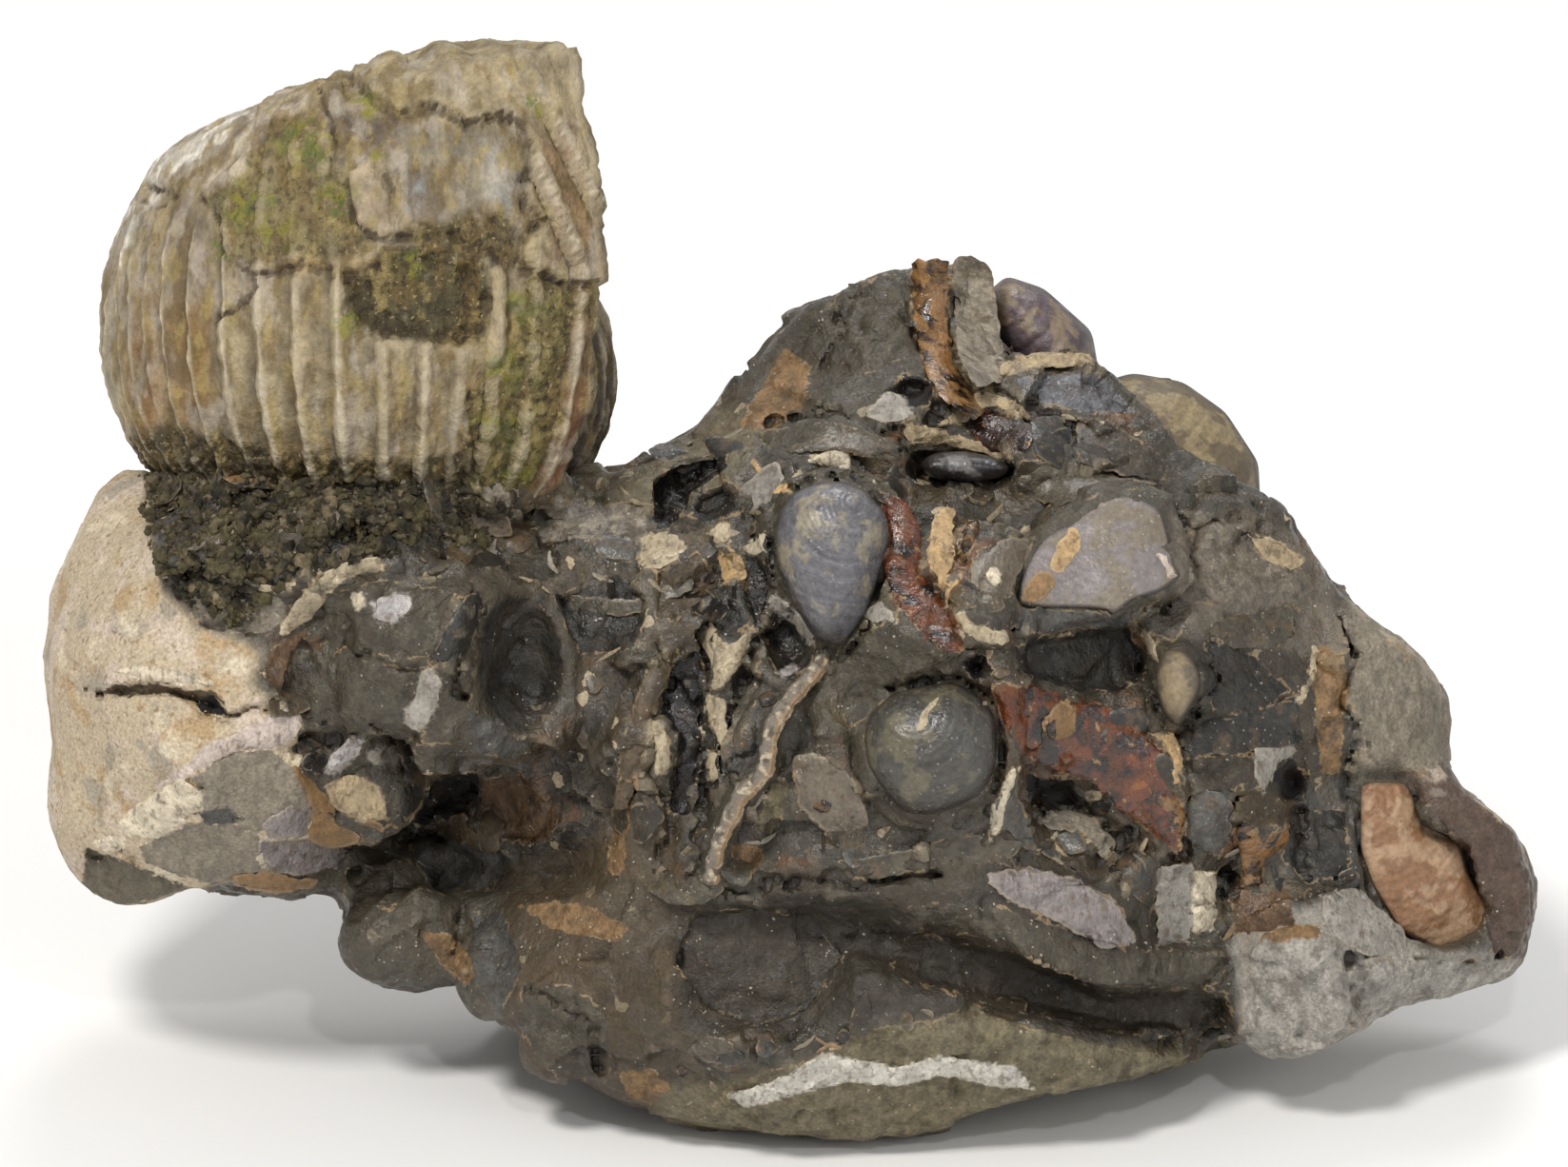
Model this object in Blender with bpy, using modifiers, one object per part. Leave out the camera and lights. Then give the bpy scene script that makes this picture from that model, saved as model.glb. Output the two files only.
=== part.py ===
"""A hoploscaphites ammonite standing on the shelly stone that it was found in.

The stone is one lump of dark concretion. The ribbed ammonite stands on its left
end, and smaller shells are caught in it. Each shell is a solid of its own, seated
in a socket of the stone.

Shapes are written in millimetres in the face frame, the way the fossil is looked
at: u to the right, v up the face, and w out of the face towards the viewer. An
empty leans that frame back, so that the stone rests on the small flat at its foot.
"""

import math

import bmesh
import bpy
import numpy as np
from mathutils import Matrix, Vector, noise

MM = 0.001

# The stance. The face is looked down on from this angle above the table, and the
# middle of the face stands at this place over the origin.
LEAN_DEG = 22.0
MIDDLE_X = -0.52
MIDDLE_Y = -1.5
MIDDLE_Z = 38.6

# The gap all round a shell in its socket.
GAP = 0.35

# The stone's lumps are joined and trimmed at this voxel size, then thinned out.
STONE_VOXEL = 0.9
STONE_TRIANGLES = 4300

# The stone's lumps: middle (u, v, w), radii (u, v, w) and turn in the face in degrees.
STONE_LUMPS = {
    "core": ((8, -12, -4), (38, 26, 23), 0),
    "upper core": ((12, 5, -8), (26, 16, 19), 0),
    "left lobe": ((-43, -9, -4), (15.8, 17, 21), 0),
    "lobe foot": ((-49, -16, -5), (10, 10.5, 15), 0),
    "lobe foot right": ((-40, -18, -4), (7, 7.5, 13), 0),
    "lobe shoulder": ((-48, 0, -6), (10.5, 10, 13), 0),
    "shelf": ((-30, 0, -5), (22, 9.4, 21), 0),
    "crust": ((-36, 2.2, 8), (14, 6.8, 12), 0),
    "knobs": ((-27, -6, 8), (11, 9.5, 13), 0),
    "saddle": ((-10, 2, -5), (15, 9, 16), 25),
    "belly": ((5, -32, -2), (31, 13.5, 20), 0),
    "belly left": ((-16, -31, -5), (13, 9.5, 14), 35),
    "hanging knob": ((-29, -26.5, -4), (6.2, 6, 9), 0),
    "right shoulder": ((44, -9, -8), (9, 9.5, 15), 0),
    "wedge": ((47, -23, -6), (13, 11, 13), 0),
    "wedge tip": ((54, -26, -7), (6, 7, 8), 0),
    "pale foot": ((41, -30, -1), (8, 8.5, 12), 0),
    "upper right": ((36, 1, -6), (11, 8, 15), -40),
    "peak": ((8, 17, -8), (13, 9, 11), 15),
    "peak tip": ((14, 21, -9), (4.5, 5, 7), 0),
    "middle swell": ((12, -8, 8), (16, 14, 16), 0),
}

# The stone's outline in the face, clockwise from the notch at the ammonite's left foot.
STONE_OUTLINE = [
    (-51, 10), (-44, 12), (-32, 11), (-20, 9.5), (-17, 10), (-15.2, 8.9), (-13.2, 8.7),
    (-9, 10.9), (-5.6, 12.4), (-3.2, 16.4), (0, 20.2), (5.4, 23.1), (7.3, 24.4),
    (13, 24.9), (14.4, 25.5), (15.8, 24.6), (18.5, 23.5), (22, 19), (27, 15), (34, 9),
    (37.6, 7), (41, 2.8), (45.3, -2.4), (49.5, -5.3), (51.9, -8.6), (52.2, -11.5),
    (51.7, -13.5), (53.8, -16.5), (57, -18.9), (59.4, -23.4), (59.1, -28.5), (58.3, -31.4),
    (53, -32.2), (48, -33.6), (45, -35.5), (43, -36.1), (39, -37.6), (36, -35.9),
    (33, -37.3), (26, -38.9), (18, -40.4), (11, -42.8), (3.5, -43.6), (-4, -42.6),
    (-12, -40.9), (-16, -39.2), (-21.2, -35), (-23.2, -34.1), (-25.5, -31.1),
    (-28.8, -32.3), (-32.8, -31.2), (-34.6, -28.2), (-36, -24.6), (-38.5, -25.2),
    (-45.7, -23.7), (-52.2, -25.4), (-56.3, -22.8), (-58, -18), (-57.6, -12),
    (-58.5, -6.5), (-58.3, -2), (-56.2, 2.8), (-54, 7.5),
]

# The lumps' own mesh, and how often the joined stone is smoothed.
LUMP_DETAIL = 4
SMOOTH_ROUNDS = 6

# Hollows in the face: outline in the face and depth into it.
HOLLOWS = {
    "below the knobs": (
        [(-33, -21), (-28.5, -15.5), (-19, -13), (-15, -10.5), (-12, -17), (-15, -24), (-26, -24)], 6.0),
    "scoop in the knobs": (
        [(-24, -3), (-20, -1.5), (-17.6, -5), (-18, -10), (-21, -12), (-23.6, -8)], 3.5),
    "saddle slot": ([(-10.3, 5), (-6, 9.6), (-4, 9.6), (-6, 7), (-9, 4.4)], 2.5),
    "under the plate": (
        [(17, -4), (20, -2.4), (27.5, -2.4), (29, -5), (27, -9), (21, -8), (17, -6)], 3.0),
    "under the long lip": (
        [(3, -27), (12, -27), (18, -29.5), (25, -32.3), (34.5, -32.3), (35.5, -35.8), (25, -35.5),
         (14, -33)], 4.5),
    "round hole": ([(38.2, -14.5), (40.8, -14.4), (41, -17), (38.6, -17)], 3.0),
    "hole over the lower clam": ([(13, -5.6), (16.2, -5.2), (16.4, -7.4), (13.4, -7.4)], 2.5),
    "hollow under the amber": ([(19, -15), (23, -15.5), (26, -19.5), (25.5, -22), (20, -21.5)], 3.0),
    "block under the rim": ([(-7, -26), (4, -25), (5, -31), (1, -35), (-8, -34)], 2.5),
}

# Lips and plates that stand proud of the face: outline in the face and height.
RISES = {
    "long lip": (
        [(11, -25.5), (16, -22.8), (25, -23.3), (30, -28), (34.6, -28), (35, -31), (31, -32),
         (24, -31), (17, -28.3)], 3.0),
    "tan skin": ([(-57, -9), (-45, -9.4), (-38, -9), (-40, 0), (-50, 6), (-57, 1)], 1.0),
    "rim over the block": (
        [(-10, -22), (4, -20.5), (16, -22.6), (11, -25.4), (3, -24.6), (-8, -25.6)], 2.0),
    "upper step": (
        [(-4, 12.3), (8, 12.2), (22, 11), (29, 9.6), (30, 7.2), (17, 7.3), (8, 8), (-3, 8.4)], 1.6),
}

# The slope at the border of a hollow or a rise takes this width.
SLOPE_WIDTH = 1.2

# Broken rock: the size of its facets and how far they stand in and out. The skin of
# the left lobe is worn smooth, and so is most of the stone's outline.
FACET_SIZE = 7.5
FACET_DEPTH = 2.6
SKIN_FACET_DEPTH = 1.0
SKIN_ENDS_U = -42.0
OUTLINE_CALM = 0.7

# The flat that the stone rests on, above the lowest that the stone would reach.
FOOT_LEVEL = 0.0

# The ammonite. Its coil lies across the face, so the ribs run up and down it.
COIL_U, COIL_W = -31.0, -6.0
APERTURE_DEG = 53.0
TURN_DEG = 360.0
VENTER_RADIUS = 26.8
RADIUS_GROWTH = 0.085
HALF_BREADTH = 18.6
BREADTH_GROWTH = 0.115
COIL_V = 24.0
COIL_DROP = 1.4
SECTION_POWER = 2.2
WIDEST_RADIUS = 0.52
UMBILICUS_HEIGHT = 0.62
# At the aperture the upper side has a square shoulder, at this share of the venter's
# radius and of the half breadth. It fades out over this turn in radians.
SHOULDER_RADIUS = 0.85
SHOULDER_HEIGHT = 0.97
SHOULDER_FADE = 0.9
SHOULDER_AT = 0.45
RIB_PITCH_DEG = 7.6
RIB_HEIGHT = 0.55
RIBS_FROM_SHARE = 0.3
# The knobs stand in a row on the upper side, at this share of the section, and fade out
# before this angle.
TUBERCLE_HEIGHT = 1.1
TUBERCLE_SHARE = 0.72
TUBERCLE_WIDTH = 0.05
TUBERCLE_PITCH_DEG = 15.2
TUBERCLES_END_DEG = 125.0

# The mesh of the coil and of the plain socket that it stands in.
COIL_ROWS = 14
SOCKET_COLUMNS = 60
SOCKET_MARGIN = 0.15

# A plate's socket stays open towards the viewer by this much.
PLATE_ROOM = 8.0


# Building blocks


def face(u, v, w):
    """A point of the face frame, as the leaning empty's own coordinates in metres."""
    return Vector((u, -w, v)) * MM


def clear_scene():
    for obj in list(bpy.data.objects):
        bpy.data.objects.remove(obj, do_unlink=True)


def make_collection(name, shown):
    collection = bpy.data.collections.new(name)
    bpy.context.scene.collection.children.link(collection)
    collection.hide_render = not shown
    return collection


def make_lean():
    """The empty that tips the face frame back over the table."""
    lean = bpy.data.objects.new("lean", None)
    lean.location = Vector((MIDDLE_X, MIDDLE_Y, MIDDLE_Z)) * MM
    lean.rotation_euler.x = math.radians(-LEAN_DEG)
    bpy.context.scene.collection.objects.link(lean)
    return lean


def make_material(name, colour, roughness):
    material = bpy.data.materials.new(name)
    material.use_nodes = True
    shader = material.node_tree.nodes["Principled BSDF"]
    shader.inputs["Base Color"].default_value = (*colour, 1.0)
    shader.inputs["Roughness"].default_value = roughness
    return material


def add_object(name, mesh, collection, material=None):
    obj = bpy.data.objects.new(name, mesh)
    obj.parent = LEAN
    collection.objects.link(obj)
    if material:
        mesh.materials.append(material)
    if collection is CUTTERS:
        obj.hide_render = True
        obj.display_type = "WIRE"
    return obj


def add_bmesh(name, bm, collection, material=None):
    mesh = bpy.data.meshes.new(name)
    bm.to_mesh(mesh)
    bm.free()
    return add_object(name, mesh, collection, material)


def bake(obj):
    """Makes the object's modifiers real, so that its points can be moved one by one."""
    bpy.context.view_layer.update()
    graph = bpy.context.evaluated_depsgraph_get()
    mesh = bpy.data.meshes.new_from_object(obj.evaluated_get(graph))
    obj.modifiers.clear()
    obj.data = mesh


def add_remesh(obj, voxel):
    modifier = obj.modifiers.new("join", "REMESH")
    modifier.mode = "VOXEL"
    modifier.voxel_size = voxel * MM


def add_smooth(obj, rounds):
    modifier = obj.modifiers.new("soften", "SMOOTH")
    modifier.factor = 0.5
    modifier.iterations = rounds


def add_boolean(obj, cutter, operation):
    modifier = obj.modifiers.new(cutter.name, "BOOLEAN")
    modifier.operation = operation
    modifier.object = cutter


def add_lump(bm, middle, radii, turn_deg, detail):
    """One ellipsoid, turned in the face."""
    ru, rv, rw = radii
    place = Matrix.Translation(face(*middle))
    turn = Matrix.Rotation(math.radians(-turn_deg), 4, "Y")
    size = Matrix.Diagonal((ru * MM, rw * MM, rv * MM, 1.0))
    bmesh.ops.create_icosphere(bm, subdivisions=detail, radius=1.0, matrix=place @ turn @ size)


def outline_curve(name, points, half_depth, smooth):
    """A flat outline in the face, extruded both ways along w."""
    curve = bpy.data.curves.new(name, "CURVE")
    curve.dimensions = "2D"
    curve.fill_mode = "BOTH"
    curve.extrude = half_depth * MM
    curve.resolution_u = 4
    spline = curve.splines.new("BEZIER" if smooth else "POLY")
    if smooth:
        spline.bezier_points.add(len(points) - 1)
        for knot, (u, v) in zip(spline.bezier_points, points):
            knot.co = Vector((u, v, 0)) * MM
            knot.handle_left_type = knot.handle_right_type = "AUTO"
    else:
        spline.points.add(len(points) - 1)
        for knot, (u, v) in zip(spline.points, points):
            knot.co = (u * MM, v * MM, 0, 1)
    spline.use_cyclic_u = True
    return curve


def extruded(name, points, w_back, w_front, collection, material=None, smooth=False):
    """A slab between two depths with this outline in the face, as a mesh."""
    curve = outline_curve(name, points, (w_front - w_back) / 2, smooth)
    guide = add_object(name + " outline", curve, CUTTERS)
    guide.rotation_euler.x = math.radians(90)
    guide.location = face(0, 0, (w_front + w_back) / 2)
    bpy.context.view_layer.update()
    graph = bpy.context.evaluated_depsgraph_get()
    mesh = bpy.data.meshes.new_from_object(guide.evaluated_get(graph))
    mesh.transform(guide.matrix_local)
    bpy.data.objects.remove(guide, do_unlink=True)
    bm = bmesh.new()
    bm.from_mesh(mesh)
    bmesh.ops.remove_doubles(bm, verts=bm.verts, dist=1e-6)
    bmesh.ops.triangulate(bm, faces=bm.faces)
    bmesh.ops.recalc_face_normals(bm, faces=bm.faces)
    return add_bmesh(name, bm, collection, material)


# Moving a mesh's points by rule


def inside_distance(points, outline):
    """How far each (u, v) is inside a closed outline; below zero outside it."""
    corners = np.array(outline, float)
    nearest = np.full(len(points), np.inf)
    crossings = np.zeros(len(points), bool)
    for a, b in zip(corners, np.roll(corners, -1, axis=0)):
        side = b - a
        along = np.clip(((points - a) @ side) / (side @ side), 0, 1)
        nearest = np.minimum(nearest, np.linalg.norm(points - a - along[:, None] * side, axis=1))
        spans = (a[1] > points[:, 1]) != (b[1] > points[:, 1])
        rise = b[1] - a[1] if b[1] != a[1] else 1.0
        meets = a[0] + (points[:, 1] - a[1]) / rise * side[0]
        crossings ^= spans & (points[:, 0] < meets)
    return np.where(crossings, nearest, -nearest)


def step(x):
    """A smooth step from 0 to 1 as x goes from 0 to 1."""
    x = np.clip(x, 0, 1)
    return x * x * (3 - 2 * x)


def mesh_points(mesh):
    """The mesh's points and normals as (u, v, w) rows, the points in millimetres."""
    flat = np.zeros(len(mesh.vertices) * 3)
    mesh.vertices.foreach_get("co", flat)
    xyz = flat.reshape(-1, 3) / MM
    mesh.vertices.foreach_get("normal", flat)
    facing = flat.reshape(-1, 3)
    order = [0, 2, 1]
    signs = (1, 1, -1)
    return xyz[:, order] * signs, facing[:, order] * signs


def put_points(mesh, uvw):
    xyz = uvw[:, [0, 2, 1]] * (1, -1, 1) * MM
    mesh.vertices.foreach_set("co", xyz.astype(np.float32).ravel())
    mesh.update()


def carve_face(mesh):
    """Pushes the hollows in and the rises out, on the side that faces the viewer."""
    uvw, facing = mesh_points(mesh)
    looks_out = step((facing[:, 2] + 0.1) / 0.5)
    for outline, depth in HOLLOWS.values():
        within = step(inside_distance(uvw[:, :2], outline) / SLOPE_WIDTH + 0.5)
        uvw[:, 2] -= depth * looks_out * within
    for outline, height in RISES.values():
        within = step(inside_distance(uvw[:, :2], outline) / SLOPE_WIDTH + 0.5)
        uvw[:, 2] += height * looks_out * within
    put_points(mesh, uvw)


def break_rock(mesh):
    """Facets of broken rock: cells whose middles stand out and whose joints fall in."""
    uvw, facing = mesh_points(mesh)
    broken = step((uvw[:, 0] - SKIN_ENDS_U) / FACET_SIZE) * step((facing[:, 2] + 0.5) / 0.6)
    depth = SKIN_FACET_DEPTH + (FACET_DEPTH - SKIN_FACET_DEPTH) * broken
    rim = step(-inside_distance(uvw[:, :2], STONE_OUTLINE) / 2.0 + 1.2)
    depth *= 1 - OUTLINE_CALM * rim
    for i, point in enumerate(uvw):
        distances, _ = noise.voronoi(Vector(point) / FACET_SIZE)
        wave = noise.noise(Vector(point) / (2 * FACET_SIZE))
        uvw[i] += facing[i] * depth[i] * (0.45 - distances[0] + 0.5 * wave)
    put_points(mesh, uvw)


# The ammonite


def coil_place(angle_deg, radius, height):
    """A point of the coil: its angle from the right towards the viewer, its distance
    from the coil's axis and its height over the coil's middle plane."""
    turned = math.radians(angle_deg - APERTURE_DEG)
    middle_v = COIL_V - COIL_DROP * turned
    angle = math.radians(angle_deg)
    u = COIL_U + radius * math.cos(angle)
    w = COIL_W + radius * math.sin(angle)
    return face(u, middle_v + height, w)


def coil_size(angle_deg):
    """The venter's radius and the whorl's half breadth at an angle."""
    turned = math.radians(angle_deg - APERTURE_DEG)
    radius = VENTER_RADIUS * math.exp(-RADIUS_GROWTH * turned)
    breadth = HALF_BREADTH * math.exp(-BREADTH_GROWTH * turned)
    return radius, breadth


def round_section(t):
    """From the widest ring (t = 0) to the venter (t = 1), as shares of the radius
    and of the half breadth."""
    turn = t * math.pi / 2
    out = math.sin(turn) ** (2 / SECTION_POWER)
    return WIDEST_RADIUS + (1 - WIDEST_RADIUS) * out, max(0.0, math.cos(turn)) ** (2 / SECTION_POWER)


def shouldered_section(t):
    """The same run with a straight flank, a square shoulder and a low arch."""
    if t < SHOULDER_AT:
        along = t / SHOULDER_AT
        return (WIDEST_RADIUS + (SHOULDER_RADIUS - WIDEST_RADIUS) * along,
                1 - (1 - SHOULDER_HEIGHT) * along)
    left = (1 - t) / (1 - SHOULDER_AT)
    return 1 - (1 - SHOULDER_RADIUS) * left**1.6, SHOULDER_HEIGHT * left


def section_point(angle_deg, share, grow, ornament):
    """The whorl's section. share runs from 0 at the upper umbilicus to 1 on the
    venter and 2 at the lower umbilicus."""
    radius, breadth = coil_size(angle_deg)
    radius, breadth = radius + grow, breadth + grow
    side = 1 if share <= 1 else -1
    share = share if share <= 1 else 2 - share
    t = max(0.0, share - 0.5) / 0.5
    if share < 0.5:
        r = radius * WIDEST_RADIUS * share / 0.5
        height = breadth * (UMBILICUS_HEIGHT + (1 - UMBILICUS_HEIGHT) * step(share / 0.5))
    else:
        out, up = round_section(t)
        if side > 0:
            fade = math.exp(-math.radians(angle_deg - APERTURE_DEG) / SHOULDER_FADE)
            square_out, square_up = shouldered_section(t)
            out, up = out + (square_out - out) * fade, up + (square_up - up) * fade
        r, height = radius * out, breadth * up
    if ornament and share > RIBS_FROM_SHARE:
        rib = RIB_HEIGHT * (0.5 + 0.5 * math.cos(2 * math.pi * angle_deg / RIB_PITCH_DEG))
        rib *= step((share - RIBS_FROM_SHARE) / 0.3)
        r += rib * math.sin(t * math.pi / 2)
        height += rib * math.cos(t * math.pi / 2)
        on_row = math.exp(-(((share - TUBERCLE_SHARE) / TUBERCLE_WIDTH) ** 2)) * (side > 0)
        peak = max(0.0, math.cos(2 * math.pi * angle_deg / TUBERCLE_PITCH_DEG)) ** 3
        height += TUBERCLE_HEIGHT * on_row * peak * step((TUBERCLES_END_DEG - angle_deg) / 25)
    return coil_place(angle_deg, r, side * height)


def ammonite_bmesh(columns, rows, grow=0.0, ornament=True):
    """The coil as a loft of sections once round its axis, closed by the aperture's face."""
    bm = bmesh.new()
    angles = [APERTURE_DEG + TURN_DEG * i / columns for i in range(columns + 1)]
    shares = [2 * j / rows for j in range(1, rows)]
    halfway = APERTURE_DEG + TURN_DEG / 2
    hub = UMBILICUS_HEIGHT * coil_size(halfway)[1] + grow
    top, bottom = (bm.verts.new(coil_place(halfway, 0, height)) for height in (hub, -hub))
    rings = [[bm.verts.new(section_point(a, s, grow, ornament)) for s in shares] for a in angles]
    for one, two in zip(rings, rings[1:]):
        bm.faces.new((top, one[0], two[0]))
        bm.faces.new((bottom, two[-1], one[-1]))
        for j in range(len(shares) - 1):
            bm.faces.new((one[j], one[j + 1], two[j + 1], two[j]))
    outer, inner = rings[0], rings[-1]
    bm.faces.new((top, inner[0], outer[0]))
    bm.faces.new((bottom, outer[-1], inner[-1]))
    for j in range(len(shares) - 1):
        bm.faces.new((inner[j], inner[j + 1], outer[j + 1], outer[j]))
    bmesh.ops.triangulate(bm, faces=bm.faces)
    bmesh.ops.recalc_face_normals(bm, faces=bm.faces)
    return bm


def make_ammonite():
    columns = round(2 * TURN_DEG / RIB_PITCH_DEG)
    shell = add_bmesh("ammonite", ammonite_bmesh(columns, COIL_ROWS), FOSSIL, SHELL_TAN)
    grow = GAP + RIB_HEIGHT + SOCKET_MARGIN
    plain = ammonite_bmesh(SOCKET_COLUMNS, COIL_ROWS, grow, ornament=False)
    return shell, add_bmesh("ammonite socket", plain, CUTTERS)


# The smaller shells


def make_socket(piece, grow=1.7 * GAP):
    """The hollow that a shell sits in: the shell itself, grown all round."""
    socket = add_object(piece.name + " socket", piece.data.copy(), CUTTERS)
    swell = socket.modifiers.new("gap", "DISPLACE")
    swell.strength = grow * MM
    swell.mid_level = 0.0
    bake(socket)
    return socket


def make_clam(name, middle, radii, turn_deg, material, beak=0.0, detail=3):
    """A swollen valve with its beak at the top. beak is how much narrower the valve
    is at its foot than at its top."""
    bm = bmesh.new()
    bmesh.ops.create_icosphere(bm, subdivisions=detail, radius=1.0)
    for vert in bm.verts:
        wide = 1 + beak * vert.co.z
        vert.co = Vector((vert.co.x * wide * radii[0], vert.co.y * radii[2], vert.co.z * radii[1])) * MM
    turn = Matrix.Rotation(math.radians(-turn_deg), 4, "Y")
    bm.transform(Matrix.Translation(face(*middle)) @ turn)
    clam = add_bmesh(name, bm, FOSSIL, material)
    return clam, make_socket(clam, GAP + 0.1)


def make_plate(name, outline, w_back, w_front, material, tilt=(0.0, 0.0)):
    """A piece of flat shell with a broken outline. tilt is how much w grows per
    millimetre of u and of v."""
    plate = extruded(name, outline, w_back, w_front, FOSSIL, material)
    room = extruded(name + " room", outline, w_back, w_front + PLATE_ROOM, CUTTERS)
    middle = np.mean(outline, axis=0)
    for slab in (plate, room):
        uvw, _ = mesh_points(slab.data)
        uvw[:, 2] += (uvw[:, :2] - middle) @ np.array(tilt)
        put_points(slab.data, uvw)
    return plate, make_socket(room)


def make_shell_edge(name, route, radius, material):
    """The edge of a shell seen end on: a bent bar."""
    curve = bpy.data.curves.new(name, "CURVE")
    curve.dimensions = "3D"
    curve.bevel_depth = radius * MM
    curve.bevel_resolution = 1
    curve.use_fill_caps = True
    spline = curve.splines.new("POLY")
    spline.points.add(len(route) - 1)
    for knot, point in zip(spline.points, route):
        knot.co = (*face(*point), 1)
    guide = add_object(name + " route", curve, CUTTERS)
    bpy.context.view_layer.update()
    graph = bpy.context.evaluated_depsgraph_get()
    bm = bmesh.new()
    bm.from_mesh(guide.evaluated_get(graph).to_mesh())
    bpy.data.objects.remove(guide, do_unlink=True)
    bmesh.ops.remove_doubles(bm, verts=bm.verts, dist=1e-6)
    bmesh.ops.recalc_face_normals(bm, faces=bm.faces)
    edge = add_bmesh(name, bm, FOSSIL, material)
    return edge, make_socket(edge)


# The stone


def make_stone(sockets):
    bm = bmesh.new()
    for middle, radii, turn_deg in STONE_LUMPS.values():
        add_lump(bm, middle, radii, turn_deg, LUMP_DETAIL)
    stone = add_bmesh("stone", bm, FOSSIL, DARK_STONE)
    add_remesh(stone, STONE_VOXEL)
    bake(stone)
    prism = extruded("stone outline", STONE_OUTLINE, -60, 60, CUTTERS, smooth=True)
    add_boolean(stone, prism, "INTERSECT")
    add_remesh(stone, STONE_VOXEL)
    add_smooth(stone, SMOOTH_ROUNDS)
    bake(stone)
    carve_face(stone.data)
    break_rock(stone.data)
    thin = stone.modifiers.new("thin out", "DECIMATE")
    thin.ratio = STONE_TRIANGLES / (2 * len(stone.data.polygons))
    bake(stone)
    for socket in sockets:
        add_boolean(stone, socket, "DIFFERENCE")
    add_boolean(stone, make_foot_cutter(), "DIFFERENCE")
    return stone


def make_foot_cutter():
    """A block under the table's level: it leaves the small flat that the stone rests on."""
    depth = 40.0
    bpy.ops.mesh.primitive_cube_add(size=1, location=(0, 0, (FOOT_LEVEL - depth / 2) * MM))
    block = bpy.context.object
    block.name = "foot cutter"
    block.scale = (0.3, 0.3, depth * MM)
    block.hide_render = True
    block.display_type = "WIRE"
    return block


clear_scene()
FOSSIL = make_collection("hoploscaphites ammonite", shown=True)
CUTTERS = make_collection("cutters", shown=False)
LEAN = make_lean()

DARK_STONE = make_material("dark stone", (0.10, 0.09, 0.08), 0.75)
SHELL_TAN = make_material("tan shell", (0.36, 0.29, 0.17), 0.6)
SHELL_GREY = make_material("grey shell", (0.14, 0.14, 0.15), 0.4)
SHELL_CREAM = make_material("cream shell", (0.5, 0.38, 0.24), 0.5)
SHELL_PINK = make_material("pink shell", (0.32, 0.2, 0.13), 0.35)
SHELL_NACRE = make_material("nacre", (0.2, 0.17, 0.17), 0.35)

pairs = [
    make_ammonite(),
    make_clam("upper_clam", (3.6, 2.2, 19.0), (4.5, 6.4, 4.6), -8, SHELL_GREY, beak=0.22),
    make_clam("lower_clam", (11.6, -13.2, 20.5), (5.6, 5.7, 4.6), 20, SHELL_GREY, beak=0.15),
    make_clam("oval_clam", (30.8, -7.4, 14.5), (1.9, 3.4, 2.0), 5, SHELL_CREAM, detail=2),
    make_clam("pocket_shell", (14.0, 9.4, 10.2), (4.4, 1.5, 2.2), -8, SHELL_GREY, detail=2),
    make_clam("back_clam_left", (19.6, 19.4, -9.5), (6.4, 3.6, 7.0), -42, SHELL_NACRE, detail=2),
    make_clam("back_clam_right", (29.5, 8.5, -10.0), (8.1, 8.0, 9.0), 0, SHELL_NACRE, detail=2),
    make_plate("shell_plate", [
        (17.9, -1.6), (18.5, 1), (20, 3.5), (22.5, 5.2), (24, 6.7), (27, 7), (29.3, 5.8), (30, 3),
        (31, 0.7), (29.3, -0.6), (26.3, -2.1), (22, -1.9)], 13.0, 16.6, SHELL_GREY, tilt=(-0.12, -0.42)),
    make_plate("pink_shell", [
        (45.1, -15.4), (48.8, -15.6), (50.2, -19.6), (53.4, -20.2), (54.6, -24), (55.6, -26.5),
        (52, -28.4), (48.6, -27.6), (45.8, -24)], -2.0, 1.8, SHELL_PINK, tilt=(-0.6, 0.15)),
    make_shell_edge("shell_edge", [
        (3.2, -5.8, 19.4), (1.6, -8.0, 20.6), (-0.9, -11.2, 21.3), (-1.3, -14.2, 21.4),
        (-3.2, -17.0, 21.0), (-4.8, -20.2, 19.9), (-5.8, -23.2, 18.2)], 0.75, SHELL_CREAM),
]
make_stone([socket for _, socket in pairs])
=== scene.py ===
# %% [markdown]
# # A fossil ammonite on its stone
# A real fossil like this is a lump of dark concretion, split open so that the shells
# inside it show. A ribbed ammonite stands on its left end. The model is built the same
# way: first the stone as one solid with broken facets and hollows, then the ammonite,
# then the small shells, chips, crystals and crust that sit on the stone.

# %% Load the fixed frame
import math

import bmesh
import bpy
import numpy as np
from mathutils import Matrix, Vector, noise
from mathutils.bvhtree import BVHTree
from mathutils.geometry import delaunay_2d_cdt
from mathutils.kdtree import KDTree


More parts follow.
